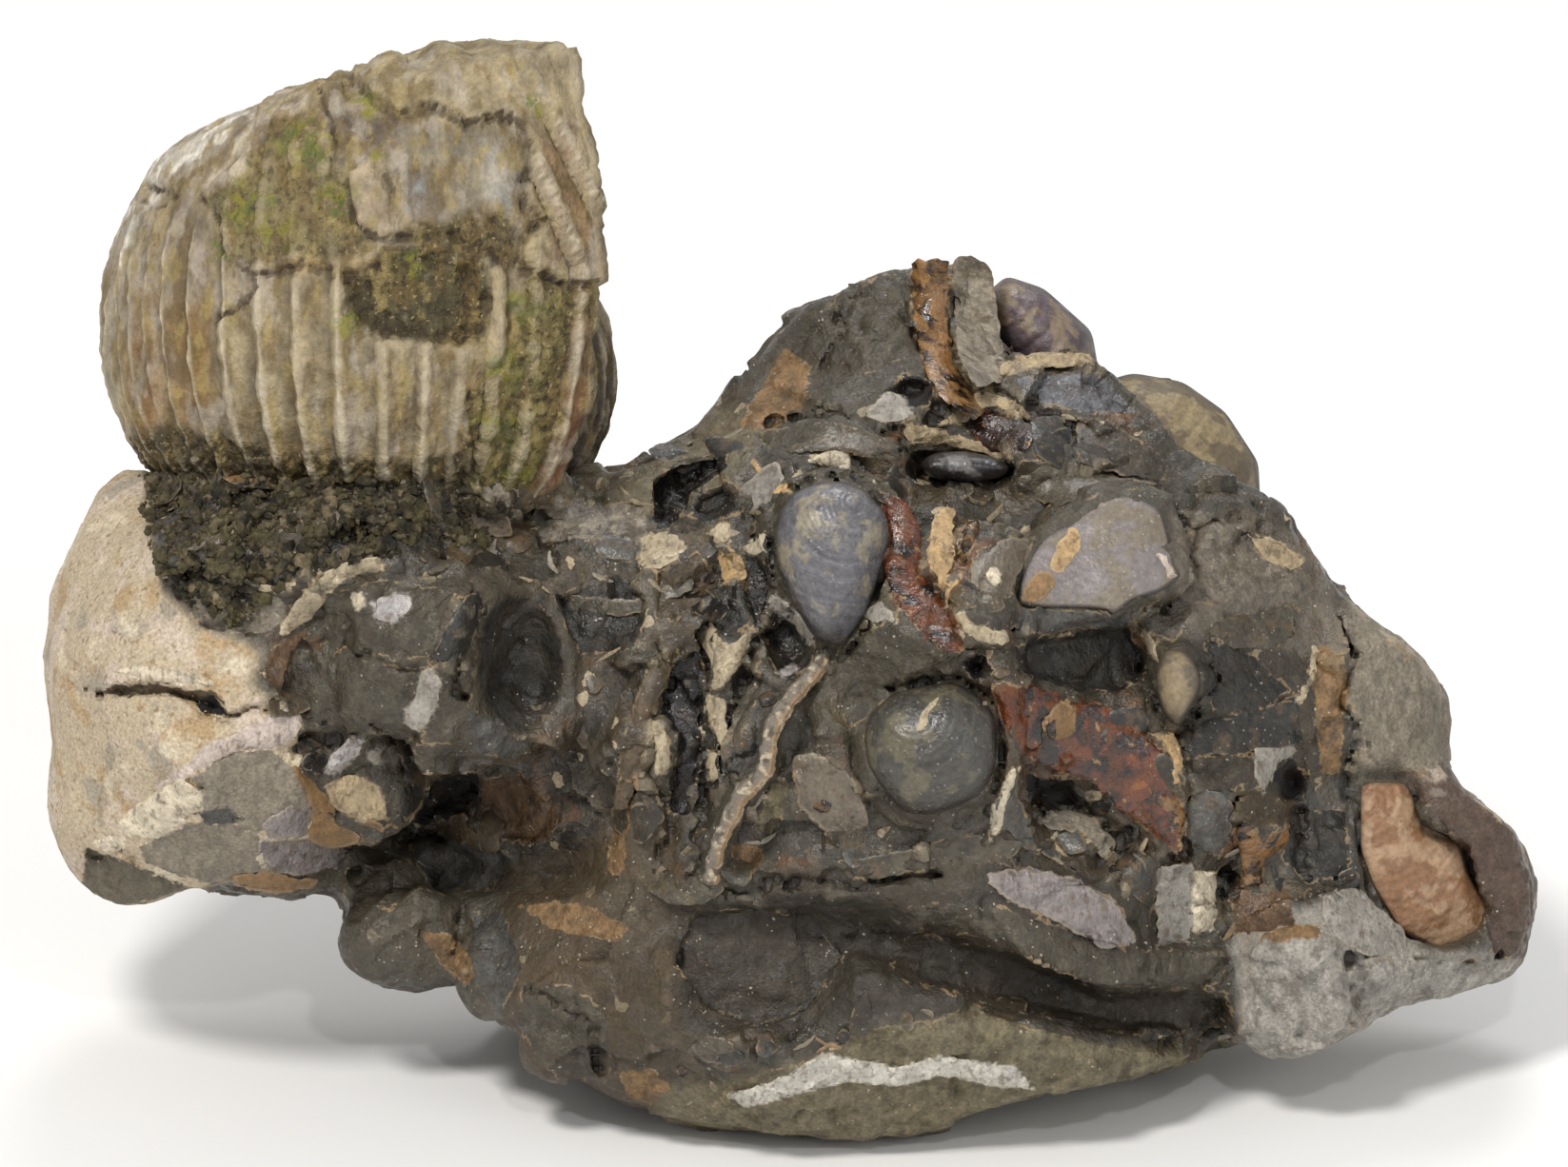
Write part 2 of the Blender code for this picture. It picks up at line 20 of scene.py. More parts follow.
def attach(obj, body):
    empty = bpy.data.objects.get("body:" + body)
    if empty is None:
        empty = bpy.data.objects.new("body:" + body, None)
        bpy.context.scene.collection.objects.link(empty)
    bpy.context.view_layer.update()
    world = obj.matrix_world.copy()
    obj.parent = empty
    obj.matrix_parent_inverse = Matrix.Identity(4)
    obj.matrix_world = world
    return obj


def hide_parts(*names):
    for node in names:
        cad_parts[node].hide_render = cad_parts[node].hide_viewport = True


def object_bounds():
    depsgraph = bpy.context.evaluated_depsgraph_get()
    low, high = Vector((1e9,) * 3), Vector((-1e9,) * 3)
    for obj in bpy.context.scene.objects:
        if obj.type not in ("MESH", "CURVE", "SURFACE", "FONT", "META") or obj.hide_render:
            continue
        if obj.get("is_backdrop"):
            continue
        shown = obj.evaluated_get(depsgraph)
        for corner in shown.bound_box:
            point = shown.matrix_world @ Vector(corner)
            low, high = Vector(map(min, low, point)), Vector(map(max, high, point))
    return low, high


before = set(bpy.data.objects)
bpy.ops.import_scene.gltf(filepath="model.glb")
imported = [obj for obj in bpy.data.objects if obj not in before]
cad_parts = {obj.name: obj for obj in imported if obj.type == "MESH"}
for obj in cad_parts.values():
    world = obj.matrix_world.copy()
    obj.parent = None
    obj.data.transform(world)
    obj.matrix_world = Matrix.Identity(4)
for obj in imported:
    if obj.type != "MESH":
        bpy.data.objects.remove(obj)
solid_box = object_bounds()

print("solid nodes:", sorted(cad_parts))

# %% [markdown]
# ## The face frame
# The fossil is looked at from a little above, so it is easier to place things the way
# the eye sees them: u to the right, v up the face and w towards the viewer, all in
# millimetres. Two small functions turn these into Blender's metres and back. The numbers
# are the ones that the solid stone was leaned and placed with.

# %% The face frame
LEAN = math.radians(22.0)
MIDDLE = np.array([-0.52, -1.5, 38.6])


def to_world(uvw):
    """Face millimetres to world metres, row by row."""
    u, v, w = np.asarray(uvw, float).T
    y = v * math.sin(LEAN) - w * math.cos(LEAN)
    z = v * math.cos(LEAN) + w * math.sin(LEAN)
    return (np.column_stack([u, y, z]) + MIDDLE) / 1000


def to_face(xyz):
    """World metres to face millimetres, row by row."""
    x, y, z = (np.asarray(xyz, float) * 1000 - MIDDLE).T
    v = y * math.sin(LEAN) + z * math.cos(LEAN)
    w = z * math.sin(LEAN) - y * math.cos(LEAN)
    return np.column_stack([x, v, w])


def direction_to_face(xyz):
    x, y, z = np.asarray(xyz, float).T
    return np.column_stack([x, y * math.sin(LEAN) + z * math.cos(LEAN),
                            z * math.sin(LEAN) - y * math.cos(LEAN)])


print("the face leans back by", round(math.degrees(LEAN)), "degrees")

# %% [markdown]
# ## Helpers for drawn shapes
# Most forms on the stone are drawn as outlines in the face. The signed distance to an
# outline says how far inside it a point is, and it gives crisp edges both for cutting
# and for painting.

# %% Outlines, steps and soft noise
def inside_distance(points, outline):
    """How far each (u, v) point is inside a closed outline; below zero outside."""
    corners = np.array(outline, float)
    nearest = np.full(len(points), np.inf)
    crossings = np.zeros(len(points), bool)
    for a, b in zip(corners, np.roll(corners, -1, axis=0)):
        side = b - a
        along = np.clip(((points - a) @ side) / (side @ side), 0, 1)
        nearest = np.minimum(nearest, np.linalg.norm(points - a - along[:, None] * side, axis=1))
        spans = (a[1] > points[:, 1]) != (b[1] > points[:, 1])
        rise = b[1] - a[1] if b[1] != a[1] else 1.0
        crossings ^= spans & (points[:, 0] < a[0] + (points[:, 1] - a[1]) / rise * side[0])
    return np.where(crossings, nearest, -nearest)


def line_distance(points, route):
    """How far each point is from an open run of straight lines, in two or three axes."""
    corners = np.array(route, float)
    nearest = np.full(len(points), np.inf)
    for a, b in zip(corners, corners[1:]):
        side = b - a
        along = np.clip(((points - a) @ side) / (side @ side), 0, 1)
        nearest = np.minimum(nearest, np.linalg.norm(points - a - along[:, None] * side, axis=1))
    return nearest


def smoothstep(x, low=0.0, high=1.0):
    t = np.clip((x - low) / (high - low), 0, 1)
    return t * t * (3 - 2 * t)


def on_face(points):
    """The (u, v) of each point, with w set to 0."""
    return np.column_stack([points[:, :2], np.zeros(len(points))])


def rough(points, size, octaves=3, shift=0.0):
    """Soft random height between about -1 and 1 for each point; size is in millimetres."""
    move = Vector((shift, shift * 0.7, -shift))
    return np.array([noise.fractal(Vector(p) / size + move, 0.6, 2.1, octaves) for p in points])


# %% [markdown]
# ## The stone as a block of numbers
# A broken stone has undercut ledges and cracks, which are hard to model by moving the
# points of a sheet. So the stone is held as a grid of distances: below zero inside the
# rock, above zero outside it. Adding a lump is a minimum, and cutting a hollow is a
# maximum. The grid starts from the solid stone of the frame.

# %% Distances from the solid stone
CELL = 0.33
COARSE = 5
LOW = np.array([-60.3, -45.6, -30.0])
COUNT = np.array([74, 44, 35]) * COARSE + 1
AXES = [LOW[i] + CELL * np.arange(COUNT[i]) for i in range(3)]


def joined_solid():
    """The solid stone as an even closed mesh, in face millimetres."""
    helper = bpy.data.objects.new("even stone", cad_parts["stone"].data.copy())
    bpy.context.scene.collection.objects.link(helper)
    weld = helper.modifiers.new("one skin", "REMESH")
    weld.mode = "VOXEL"
    weld.voxel_size = 0.0008
    graph = bpy.context.evaluated_depsgraph_get()
    skin = bpy.data.meshes.new_from_object(helper.evaluated_get(graph))
    bpy.data.objects.remove(helper)
    points = np.zeros(len(skin.vertices) * 3)
    skin.vertices.foreach_get("co", points)
    return to_face(points.reshape(-1, 3)), [tuple(p.vertices) for p in skin.polygons]


def upsample(coarse):
    """Fills the fine grid between the coarse points, one axis at a time."""
    for axis in range(3):
        n = coarse.shape[axis]
        place = np.arange((n - 1) * COARSE + 1) / COARSE
        first = np.minimum(place.astype(int), n - 2)
        share = (place - first).reshape([-1 if i == axis else 1 for i in range(3)]).astype(np.float32)
        coarse = coarse.take(first, axis) * (1 - share) + coarse.take(first + 1, axis) * share
    return coarse


skin_points, skin_faces = joined_solid()
skin_tree = BVHTree.FromPolygons([Vector(p) for p in skin_points], skin_faces)
coarse_count = (COUNT - 1) // COARSE + 1
coarse = np.zeros(coarse_count, np.float32)
for i, u in enumerate(AXES[0][::COARSE]):
    for j, v in enumerate(AXES[1][::COARSE]):
        for k, w in enumerate(AXES[2][::COARSE]):
            point = Vector((u, v, w))
            hit, normal, _, distance = skin_tree.find_nearest(point)
            coarse[i, j, k] = math.copysign(distance, (point - hit).dot(normal))
rock = upsample(coarse)
print("rock grid:", rock.shape)

# %% [markdown]
# ## The finishes
# The photo shows about thirty kinds of surface, from black glassy shell to cream flakes
# and amber crystal. Each gets a plain name, a colour as the eye sees it (0 to 255) and a
# gloss from 0, dull, to 1, wet. Shader colours are linear, so a small function converts.

# %% The finishes
FINISHES = {
    "tan skin": ((186, 170, 144), 0.1), "light skin": ((203, 190, 168), 0.1),
    "rose skin": ((184, 170, 160), 0.2), "sand": ((160, 142, 112), 0.15),
    "cream": ((208, 196, 172), 0.25), "yellow cream": ((174, 144, 100), 0.4),
    "white vein": ((200, 195, 184), 0.25), "bone": ((170, 156, 130), 0.3),
    "ash": ((150, 145, 136), 0.3), "warm grey": ((128, 119, 104), 0.2),
    "pearl": ((156, 151, 149), 0.9), "lilac": ((128, 120, 117), 0.85),
    "blue grey": ((96, 96, 99), 0.8), "slate": ((74, 72, 67), 0.65),
    "drab": ((72, 66, 53), 0.62), "umber": ((74, 61, 42), 0.5),
    "dark umber": ((56, 50, 39), 0.5), "soot": ((40, 38, 33), 0.6),
    # The near-black dull finish of the deep pits is painted shade.
    "jet": ((26, 24, 24), 0.95), "pit": ((20, 17, 15), 0.1),
    "ochre": ((132, 102, 66), 0.3), "honey": ((136, 99, 58), 0.7),
    "amber": ((98, 50, 20), 0.95), "garnet": ((48, 26, 17), 0.95),
    "rust": ((88, 66, 44), 0.3), "shadow": ((98, 90, 74), 0.2), "clay": ((124, 97, 64), 0.25),
    "maroon": ((82, 60, 54), 0.5),
    "olive": ((112, 103, 80), 0.15), "moss": ((78, 74, 46), 0.05),
    "grain": ((106, 97, 84), 0.8), "plum": ((82, 65, 53), 0.6),
}


def linear(colour):
    """An eye colour from 0 to 255 as the linear numbers that shaders use."""
    share = np.asarray(colour, float) / 255
    return np.where(share <= 0.04045, share / 12.92, ((share + 0.055) / 1.055) ** 2.4)


print("finishes:", len(FINISHES))

# %% [markdown]
# ## The broken face, drawn by hand
# Every flake, hollow and block that can be told apart in the photo is an outline with a
# finish, a lift out of the face in millimetres and a tilt: how much it leans out for each
# millimetre to the right and up. The same list cuts the stone and later paints it, so
# colours and edges always agree. To keep the lists short, each row is written as the
# finish, the lift and tilts, a bar, and then the corners in tenths of a millimetre.

# %% Read a drawn table
def points_in(text):
    """Points written as u,v pairs in tenths of a millimetre."""
    return [tuple(int(number) / 10 for number in pair.split(",")) for pair in text.split()]


def table(text):
    """Rows of a drawn table: a finish where it has one, its numbers, then its points."""
    for row in text.split(";"):
        head, points = row.split("|")
        words = head.split()
        name = " ".join(word for word in words if word.isalpha())
        yield name, [float(word) for word in words if not word.isalpha()], points_in(points)


def flakes(text):
    """Each flake as its finish, outline, lift and two tilts, which are 0 where left out."""
    return [(finish, outline, *(numbers + [0, 0])[:3]) for finish, numbers, outline in table(text)]


print("a row reads as", next(table("slate 0.5 | 0,0 10,0 10,10")))

# %% The flakes of the left lobe and the knobs
LOBE_FLAKES = flakes("""
umber -0.5 0 0.1 | -545,-87 -520,-79 -495,-78 -460,-84 -445,-84 -438,-93 -460,-93 -480,-87
 -515,-88;
pit -1.8 | -458,-89 -444,-87 -436,-96 -432,-103 -448,-103 -456,-97;
light skin 0.35 0 0.1 | -525,-68 -500,-64 -465,-69 -446,-78 -465,-80 -505,-75;
rose skin 0.3 | -495,-161 -472,-146 -450,-125 -425,-116 -380,-94 -375,-112 -390,-127
 -420,-128 -445,-140 -465,-152;
warm grey -0.1 | -465,-152 -435,-134 -405,-129 -380,-144 -368,-168 -378,-185 -405,-195
 -440,-193 -454,-177 -458,-163;
warm grey 0 | -505,-206 -475,-192 -450,-184 -410,-195 -412,-220 -400,-230 -450,-237
 -500,-220;
slate -0.3 | -460,-180 -435,-174 -420,-186 -450,-190;
cream 0.5 | -472,-152 -463,-156 -454,-166 -453,-176 -465,-177 -472,-188 -490,-200 -512,-199
 -521,-188 -513,-178 -500,-170 -488,-159;
cream 0.35 | -544,-202 -528,-199 -516,-199 -518,-209 -530,-212;
shadow -0.3 | -548,-208 -520,-217 -466,-240 -500,-250 -530,-256 -554,-238;
lilac 0.2 | -410,-188 -385,-173 -368,-176 -374,-198 -403,-199;
lilac 0.35 0 -0.1 | -410,-202 -370,-202 -345,-210 -353,-224 -385,-230 -408,-220;
ochre 0.45 | -385,-140 -374,-143 -362,-163 -352,-170 -352,-188 -333,-193 -332,-204 -358,-209
 -374,-202 -368,-178 -376,-160;
ochre 0.3 | -435,-229 -405,-226 -380,-233 -365,-232 -370,-240 -405,-244 -430,-237;
warm grey -0.4 | -435,5 -420,-5 -395,-9 -385,-25 -405,-39 -440,-38 -465,-25 -460,-5;
slate -0.5 0 0.2 | -422,8 -405,26 -383,28 -366,20 -378,3 -395,-3 -412,1;
bone 0.3 | -425,8 -413,1 -395,-3 -382,3 -379,0 -394,-8 -413,-4;
rust 0.1 | -385,-6 -370,-20 -380,-40 -398,-50 -406,-70 -390,-90 -368,-70 -356,-40 -358,-16;
bone 0.9 | -385,-20 -368,1 -345,16 -313,21 -311,10 -340,5 -355,-8 -370,-30 -395,-42;
pit -2.4 | -380,42 -355,50 -310,50 -293,34 -320,25 -360,29;
pit -2.2 | -446,74 -400,79 -393,63 -435,56;
pit -1.4 | -480,14 -456,24 -448,2 -465,-3;
drab 0.7 0.02 0.08 | -380,-35 -355,-10 -310,3 -260,-5 -250,-25 -270,-55 -300,-60 -335,-51
 -350,-50;
drab 0.2 0.03 -0.05 | -395,-85 -380,-50 -345,-54 -305,-64 -270,-66 -265,-90 -285,-120
 -330,-118 -360,-115 -380,-100;
drab 0.1 0.1 | -275,-66 -250,-62 -244,-85 -248,-125 -285,-125 -272,-100;
soot 0.9 | -276,-59 -255,-20 -248,-8 -233,-6 -236,-25 -242,-45 -255,-64;
cream 1.1 | -337,-8 -329,-7 -326,-16 -332,-21 -336,-14;
pearl 1.1 | -322,-15 -300,-7 -289,-10 -290,-20 -303,-31 -318,-28;
ash 0.6 | -283,-69 -272,-65 -267,-76 -269,-90 -274,-105 -284,-116 -296,-109 -296,-98
 -287,-90;
slate 0.3 -0.1 0.1 | -246,-96 -220,-110 -200,-128 -215,-138 -240,-132 -250,-116;
drab 0.6 0.05 | -376,-125 -345,-113 -310,-118 -295,-135 -293,-165 -310,-190 -345,-200
 -365,-170 -378,-146;
pearl 1.2 | -360,-151 -353,-132 -338,-120 -328,-122 -332,-133 -348,-148;
ash 1.1 | -327,-130 -318,-129 -314,-142 -323,-143;
sand 0.9 | -360,-157 -335,-149 -315,-160 -310,-185 -330,-189 -355,-173;
soot 1.1 | -310,-118 -290,-124 -280,-145 -282,-168 -295,-189 -304,-178 -296,-155 -300,-135;
pit -3.2 | -295,-192 -276,-156 -245,-146 -236,-164 -260,-186;
rust -1 0.1 0.1 | -240,-155 -210,-148 -175,-170 -185,-205 -220,-202 -242,-180;
slate 0.2 0 0.15 | -295,-208 -255,-195 -215,-215 -230,-242 -280,-240;
drab 0.1 | -345,-226 -300,-216 -285,-238 -310,-256 -346,-250;
clay 0.5 | -286,-274 -260,-277 -240,-304 -250,-316 -270,-299;
clay 0.3 | -210,-253 -160,-250 -120,-268 -130,-280 -180,-272;
slate 0.3 | -246,-260 -220,-258 -206,-300 -224,-340 -244,-310;
drab 0.4 | -205,-315 -170,-312 -140,-335 -136,-380 -170,-395 -205,-355;
clay 0.3 | -128,-382 -100,-380 -90,-395 -105,-408 -125,-402""")

# %% The flakes of the middle
MIDDLE_FLAKES = flakes("""
warm grey 0.2 0 0.15 | -195,75 -150,60 -110,65 -106,30 -150,36 -190,32;
jet -3 | -103,80 -80,98 -46,102 -45,90 -70,72 -85,46 -100,42 -104,60;
soot -1.4 0 0.2 | -68,70 -45,80 -26,72 -35,55 -60,48 -75,54;
bone 0.4 | -110,38 -85,40 -76,30 -84,18 -100,10 -115,14;
slate 0.5 | -155,35 -130,40 -112,28 -120,16 -144,20;
umber -0.3 0.1 | -100,8 -65,26 -55,0 -68,-25 -100,-30;
soot -0.4 0 0.1 | -180,-10 -130,6 -106,-15 -115,-50 -160,-55;
drab 0.6 | -170,-8 -120,-14 -70,6 -70,-3 -120,-26 -170,-20;
jet -1 0.1 | -93,-70 -66,-50 -62,-70 -63,-100 -66,-140 -74,-180 -90,-180 -83,-120 -96,-105;
umber 0.7 | -100,-55 -82,-52 -92,-80 -105,-105 -108,-140 -122,-175 -134,-178 -125,-120
 -112,-80;
clay 0.6 | -125,-155 -112,-148 -120,-173 -123,-200 -128,-228 -140,-226 -133,-185;
soot 0.3 | -52,-2 -32,-2 -24,-26 -38,-43 -50,-38;
jet -0.6 | -29,19 -12,20 -12,-15 -22,-40 -30,-10;
drab -0.3 -0.1 | -54,-90 -30,-55 -18,-45 -22,-90 -36,-130 -50,-140;
bone 0.9 | -69,-39 -56,-29 -50,-46 -40,-48 -25,-33 -30,-50 -36,-68 -52,-84 -59,-82 -55,-68
 -59,-56;
bone 0.7 | -61,-85 -46,-90 -46,-105 -40,-122 -50,-129 -56,-113 -61,-100;
bone 0.6 | -60,-130 -50,-132 -52,-150 -56,-159 -62,-148;
bone 0.7 | -104,-105 -97,-106 -88,-132 -92,-149 -100,-151 -101,-130;
yellow cream 0.7 | -52,25 -41,28 -32,20 -30,4 -48,0;
cream 0.8 | -32,26 -13,43 -13,26 -26,22;
bone 0.4 | -60,42 -42,50 -42,33 -54,32;
soot -1.5 | -8,-18 10,-28 23,-45 20,-66 2,-77 -12,-60 -17,-35;
pearl 0.1 | -7,-70 6,-62 13,-66 0,-75;
ash 0.3 | -11,-8 0,-12 15,-27 26,-46 20,-49 5,-29 -11,-20;
drab -0.3 0 0.1 | 35,-75 50,-42 80,-33 110,-46 132,-72 110,-80 86,-84 65,-105 50,-110;
pit -3 | 136,-62 154,-54 165,-68 148,-77;
amber 0.3 | 74,72 90,68 106,46 108,10 116,-6 134,-26 140,-54 120,-50 104,-34 86,-14 78,12
 80,40;
honey 0.6 | 79,36 92,46 102,44 94,32;
jet -0.4 | 85,26 96,26 97,15 86,15;
yellow cream 0.9 | 116,50 124,61 134,58 130,35 135,20 128,10 123,-10 118,6 110,16 114,30;
honey 0.9 | 142,50 155,49 148,30 139,13 137,30;
yellow cream 0.6 | 123,-8 137,8 137,-3 128,-17;
rust -0.4 | 132,56 141,49 136,30 139,15 132,20 130,36;
bone 0.3 | 132,-26 142,-40 160,-47 174,-47 173,-36 150,-33 138,-21;
ash 0.4 | 58,-23 74,-13 86,-22 88,-30 64,-29;
grain 0.2 | 6,-135 22,-131 45,-140 62,-170 68,-190 30,-193 10,-170;
honey 0.6 | 19,-170 30,-166 39,-168 36,-180 22,-178;
olive 0.4 | -15,-163 4,-152 0,-175 -10,-200 -19,-190;
slate 0 | -45,-132 -18,-122 -18,-146 -32,-152 -44,-146;
clay 0.4 | -40,-205 -22,-201 -15,-215 -25,-228 -38,-220;
drab 1 | 40,-218 100,-207 142,-195 190,-202 175,-218 120,-221 80,-229 50,-230;
slate 0.6 0.1 | 163,-197 166,-170 182,-141 183,-165 190,-185 199,-211 185,-206 175,-190;
cream 0.8 | 161,-197 162,-172 178,-144 183,-143 172,-173 169,-194;
cream 0.8 | 20,97 49,111 53,90 35,92;
yellow cream 0.6 | -26,96 -16,90 -4,79 8,77 5,70 -8,72 -20,84""")

# %% The flakes of the right half
RIGHT_FLAKES = flakes("""
grain 0.2 | 150,25 175,36 196,36 182,6 174,-12 144,0;
cream 0.5 | 157,8 166,17 169,0 160,-2;
slate 0.6 0 0.3 | 180,-19 210,-19 255,-23 254,-32 230,-36 200,-40 178,-34;
soot -1.3 0 -0.1 | 195,-42 240,-37 265,-24 275,-45 285,-70 260,-85 220,-82 185,-70 180,-50;
drab 0.2 | 268,-26 305,-8 320,-20 305,-45 286,-40;
bone 0.6 | 280,-36 287,-38 293,-58 293,-64 282,-49;
grain 0.2 -0.1 -0.1 | 310,35 340,52 370,35 400,26 410,0 405,-20 350,-15 315,-15 308,0;
sand 0.4 | 363,40 390,33 410,18 400,10 375,20;
drab 0.5 0 0.1 | 330,-38 350,-50 385,-52 400,-40 400,-15 360,-25 340,-30;
soot 0.2 0.12 0.1 | 330,-43 365,-56 397,-84 370,-100 335,-98 326,-70;
soot 0.5 0 0.15 | 320,-108 360,-102 402,-89 406,-125 380,-130 350,-134 315,-135;
dark umber 0.2 | 312,-136 366,-135 369,-154 350,-162 324,-160;
ash 0.8 | 368,-126 385,-121 404,-130 388,-140 376,-165 368,-150;
pit -3 | 383,-146 398,-138 411,-150 409,-170 388,-170;
clay 0.5 | 412,-75 420,-48 438,-55 443,-80 439,-110 436,-150 422,-149 418,-110;
bone 0.6 | 400,-92 412,-74 414,-50 418,-50 416,-76 406,-94;
warm grey 0.2 | 440,-26 480,-50 515,-80 520,-120 512,-145 470,-149 458,-134 454,-110 442,-90
 450,-66 438,-44;
amber 0.6 | 160,-78 195,-80 225,-92 250,-94 276,-114 296,-130 304,-160 312,-212 294,-200
 266,-180 240,-154 214,-146 186,-132 170,-110;
ochre 0.6 | 202,-106 215,-91 227,-94 229,-120 216,-131 202,-120;
honey 0.8 | 204,-108 212,-102 214,-122 205,-122;
yellow cream 1.1 | 283,-117 304,-117 311,-135 310,-159 303,-158 303,-136 295,-123;
honey 1 | 280,-159 310,-168 313,-185 309,-211 300,-185 288,-170;
pit -2.6 | 190,-150 225,-152 238,-172 225,-182 205,-182 190,-172;
warm grey 0.6 | 195,-186 220,-175 240,-182 262,-205 250,-216 235,-195 210,-192;
slate 0.5 0 0.1 | 313,-170 330,-159 350,-170 350,-195 340,-215 315,-200;
umber 0.2 | 350,-160 370,-163 405,-172 400,-190 370,-190 352,-182;
rust 0 | 345,-220 370,-245 395,-240 400,-270 355,-275;
honey 0.6 | 352,-192 366,-190 376,-204 385,-194 400,-193 390,-210 376,-216 375,-240 360,-230
 358,-210;
soot 0.3 | 400,-176 440,-180 445,-230 410,-235 390,-215;
lilac 0.6 0 0.1 | 155,-226 190,-222 230,-231 260,-250 276,-280 250,-286 210,-262 170,-245;
ash 0.9 | 290,-223 320,-218 325,-250 318,-280 293,-283;
cream 1 0.1 | 319,-224 340,-226 338,-270 320,-277;
drab 1.1 0 0.1 | 100,-250 160,-250 220,-270 270,-288 345,-286 345,-312 310,-320 255,-315
 220,-305 180,-283 140,-273 100,-268;
dark umber -1.8 0 0.1 | 100,-272 180,-288 250,-319 346,-319 355,-360 250,-350 150,-325
 80,-305;
dark umber -0.4 0 0.1 | -70,-260 -20,-250 20,-266 45,-290 20,-330 -20,-345 -60,-330 -85,-296;
olive 0.1 | 30,-368 60,-348 100,-345 150,-330 180,-345 240,-360 330,-376 260,-394 170,-416
 80,-434 0,-440 -70,-426 -40,-390;
white vein 0.3 | -45,-400 0,-386 30,-366 60,-372 90,-378 120,-369 150,-373 180,-377 195,-396
 160,-393 125,-384 90,-393 50,-389 10,-399 -30,-410;
ash 0.5 | 356,-360 365,-290 380,-274 425,-274 444,-300 446,-355 430,-368 390,-380;
clay 0.7 | 370,-279 390,-268 420,-269 420,-278 390,-280;
ash 0.3 0.05 | 420,-245 450,-238 490,-275 490,-295 450,-290 425,-272;
ash 0.1 | 445,-295 500,-295 560,-298 588,-305 570,-324 500,-336 460,-350 446,-330;
plum 0 | 500,-165 540,-170 575,-195 594,-240 592,-295 560,-295 546,-250 530,-205""")

# %% The flakes of the peak
PEAK_FLAKES = flakes("""
clay 0.2 | -35,125 0,185 20,170 15,135 -10,120;
honey 0.1 | 100,255 130,255 129,200 135,170 160,140 150,128 123,145 110,170 103,200;
warm grey 0.6 0.05 | 134,255 145,260 165,250 170,200 174,160 150,152 136,180;
garnet 0.4 | 138,126 160,138 196,122 193,105 165,101;
sand 0.9 | 120,122 138,143 160,153 192,135 197,126 160,140 140,127;
pit -2.2 | 78,150 95,165 118,158 113,140 90,138;
ash 0.5 | 63,132 80,150 94,148 102,130 80,125;
sand 1.2 0 0.1 | 94,122 110,125 140,115 176,103 179,96 140,107 115,110 97,110;
jet -3 | 98,89 105,99 140,105 175,95 193,89 165,77 130,75;
drab 0.6 0 0.2 | -20,120 40,126 90,110 90,95 40,104 -10,102;
dark umber 0.8 | 230,130 260,125 300,96 298,80 260,86 230,95;
drab 0.5 0 0.2 | 185,95 230,94 260,84 295,78 250,70 210,60 175,74;
sand 0.6 | 168,172 200,183 245,181 243,172 200,170 170,163;
blue grey 0.1 | 180,162 250,166 275,135 240,134 190,144;
drab 0 0.05 | 40,230 80,244 100,246 96,180 70,166 46,170""")
FLAKES = LOBE_FLAKES + MIDDLE_FLAKES + RIGHT_FLAKES + PEAK_FLAKES
print("flakes drawn by hand:", len(FLAKES))

# %% [markdown]
# ## Pressing each flake into the stone
# A broken flake is nearly flat and ends in a small step. For each outline a plane is
# fitted to the front of the stone under it. Rock in front of the plane is cut away and a
# thin slab is added behind it, so the flake becomes flat with crisp sides. A deep one is
# cut as a bowl instead. Small flakes measure from the last surface, large ones from the
# first, which keeps thin shell bits sitting on whatever they broke from.

# %% Press the flakes
SLAB = 3.0
SMALL_FLAKE, SMALL_LIFT = 9.0, 0.5
BOWL_LIFT = -1.0
STEEPEST = 1.1
FAR = 99.0


def front_of(block):
    """The largest w of the rock in every (u, v) column, or the grid's lowest w."""
    inside = block[:, :, ::-1] < 0
    steps = inside.argmax(axis=2)
    return np.where(inside.any(axis=2), AXES[2][-1] - CELL * steps, LOW[2])


def window(low, high, margin=1.5):
    """Index slices of the grid columns around a box in the face."""
    first = np.maximum(((np.array(low) - margin - LOW[:2]) / CELL).astype(int), 0)
    last = np.minimum(((np.array(high) + margin - LOW[:2]) / CELL).astype(int) + 2, COUNT[:2])
    return slice(first[0], last[0]), slice(first[1], last[1])


def columns(box):
    """The (u, v) points of the columns in a window."""
    u, v = np.meshgrid(AXES[0][box[0]], AXES[1][box[1]], indexing="ij")
    return np.column_stack([u.ravel(), v.ravel()])


def area(outline):
    u, v = np.array(outline, float).T
    return abs(np.sum(u * np.roll(v, -1) - v * np.roll(u, -1))) / 2


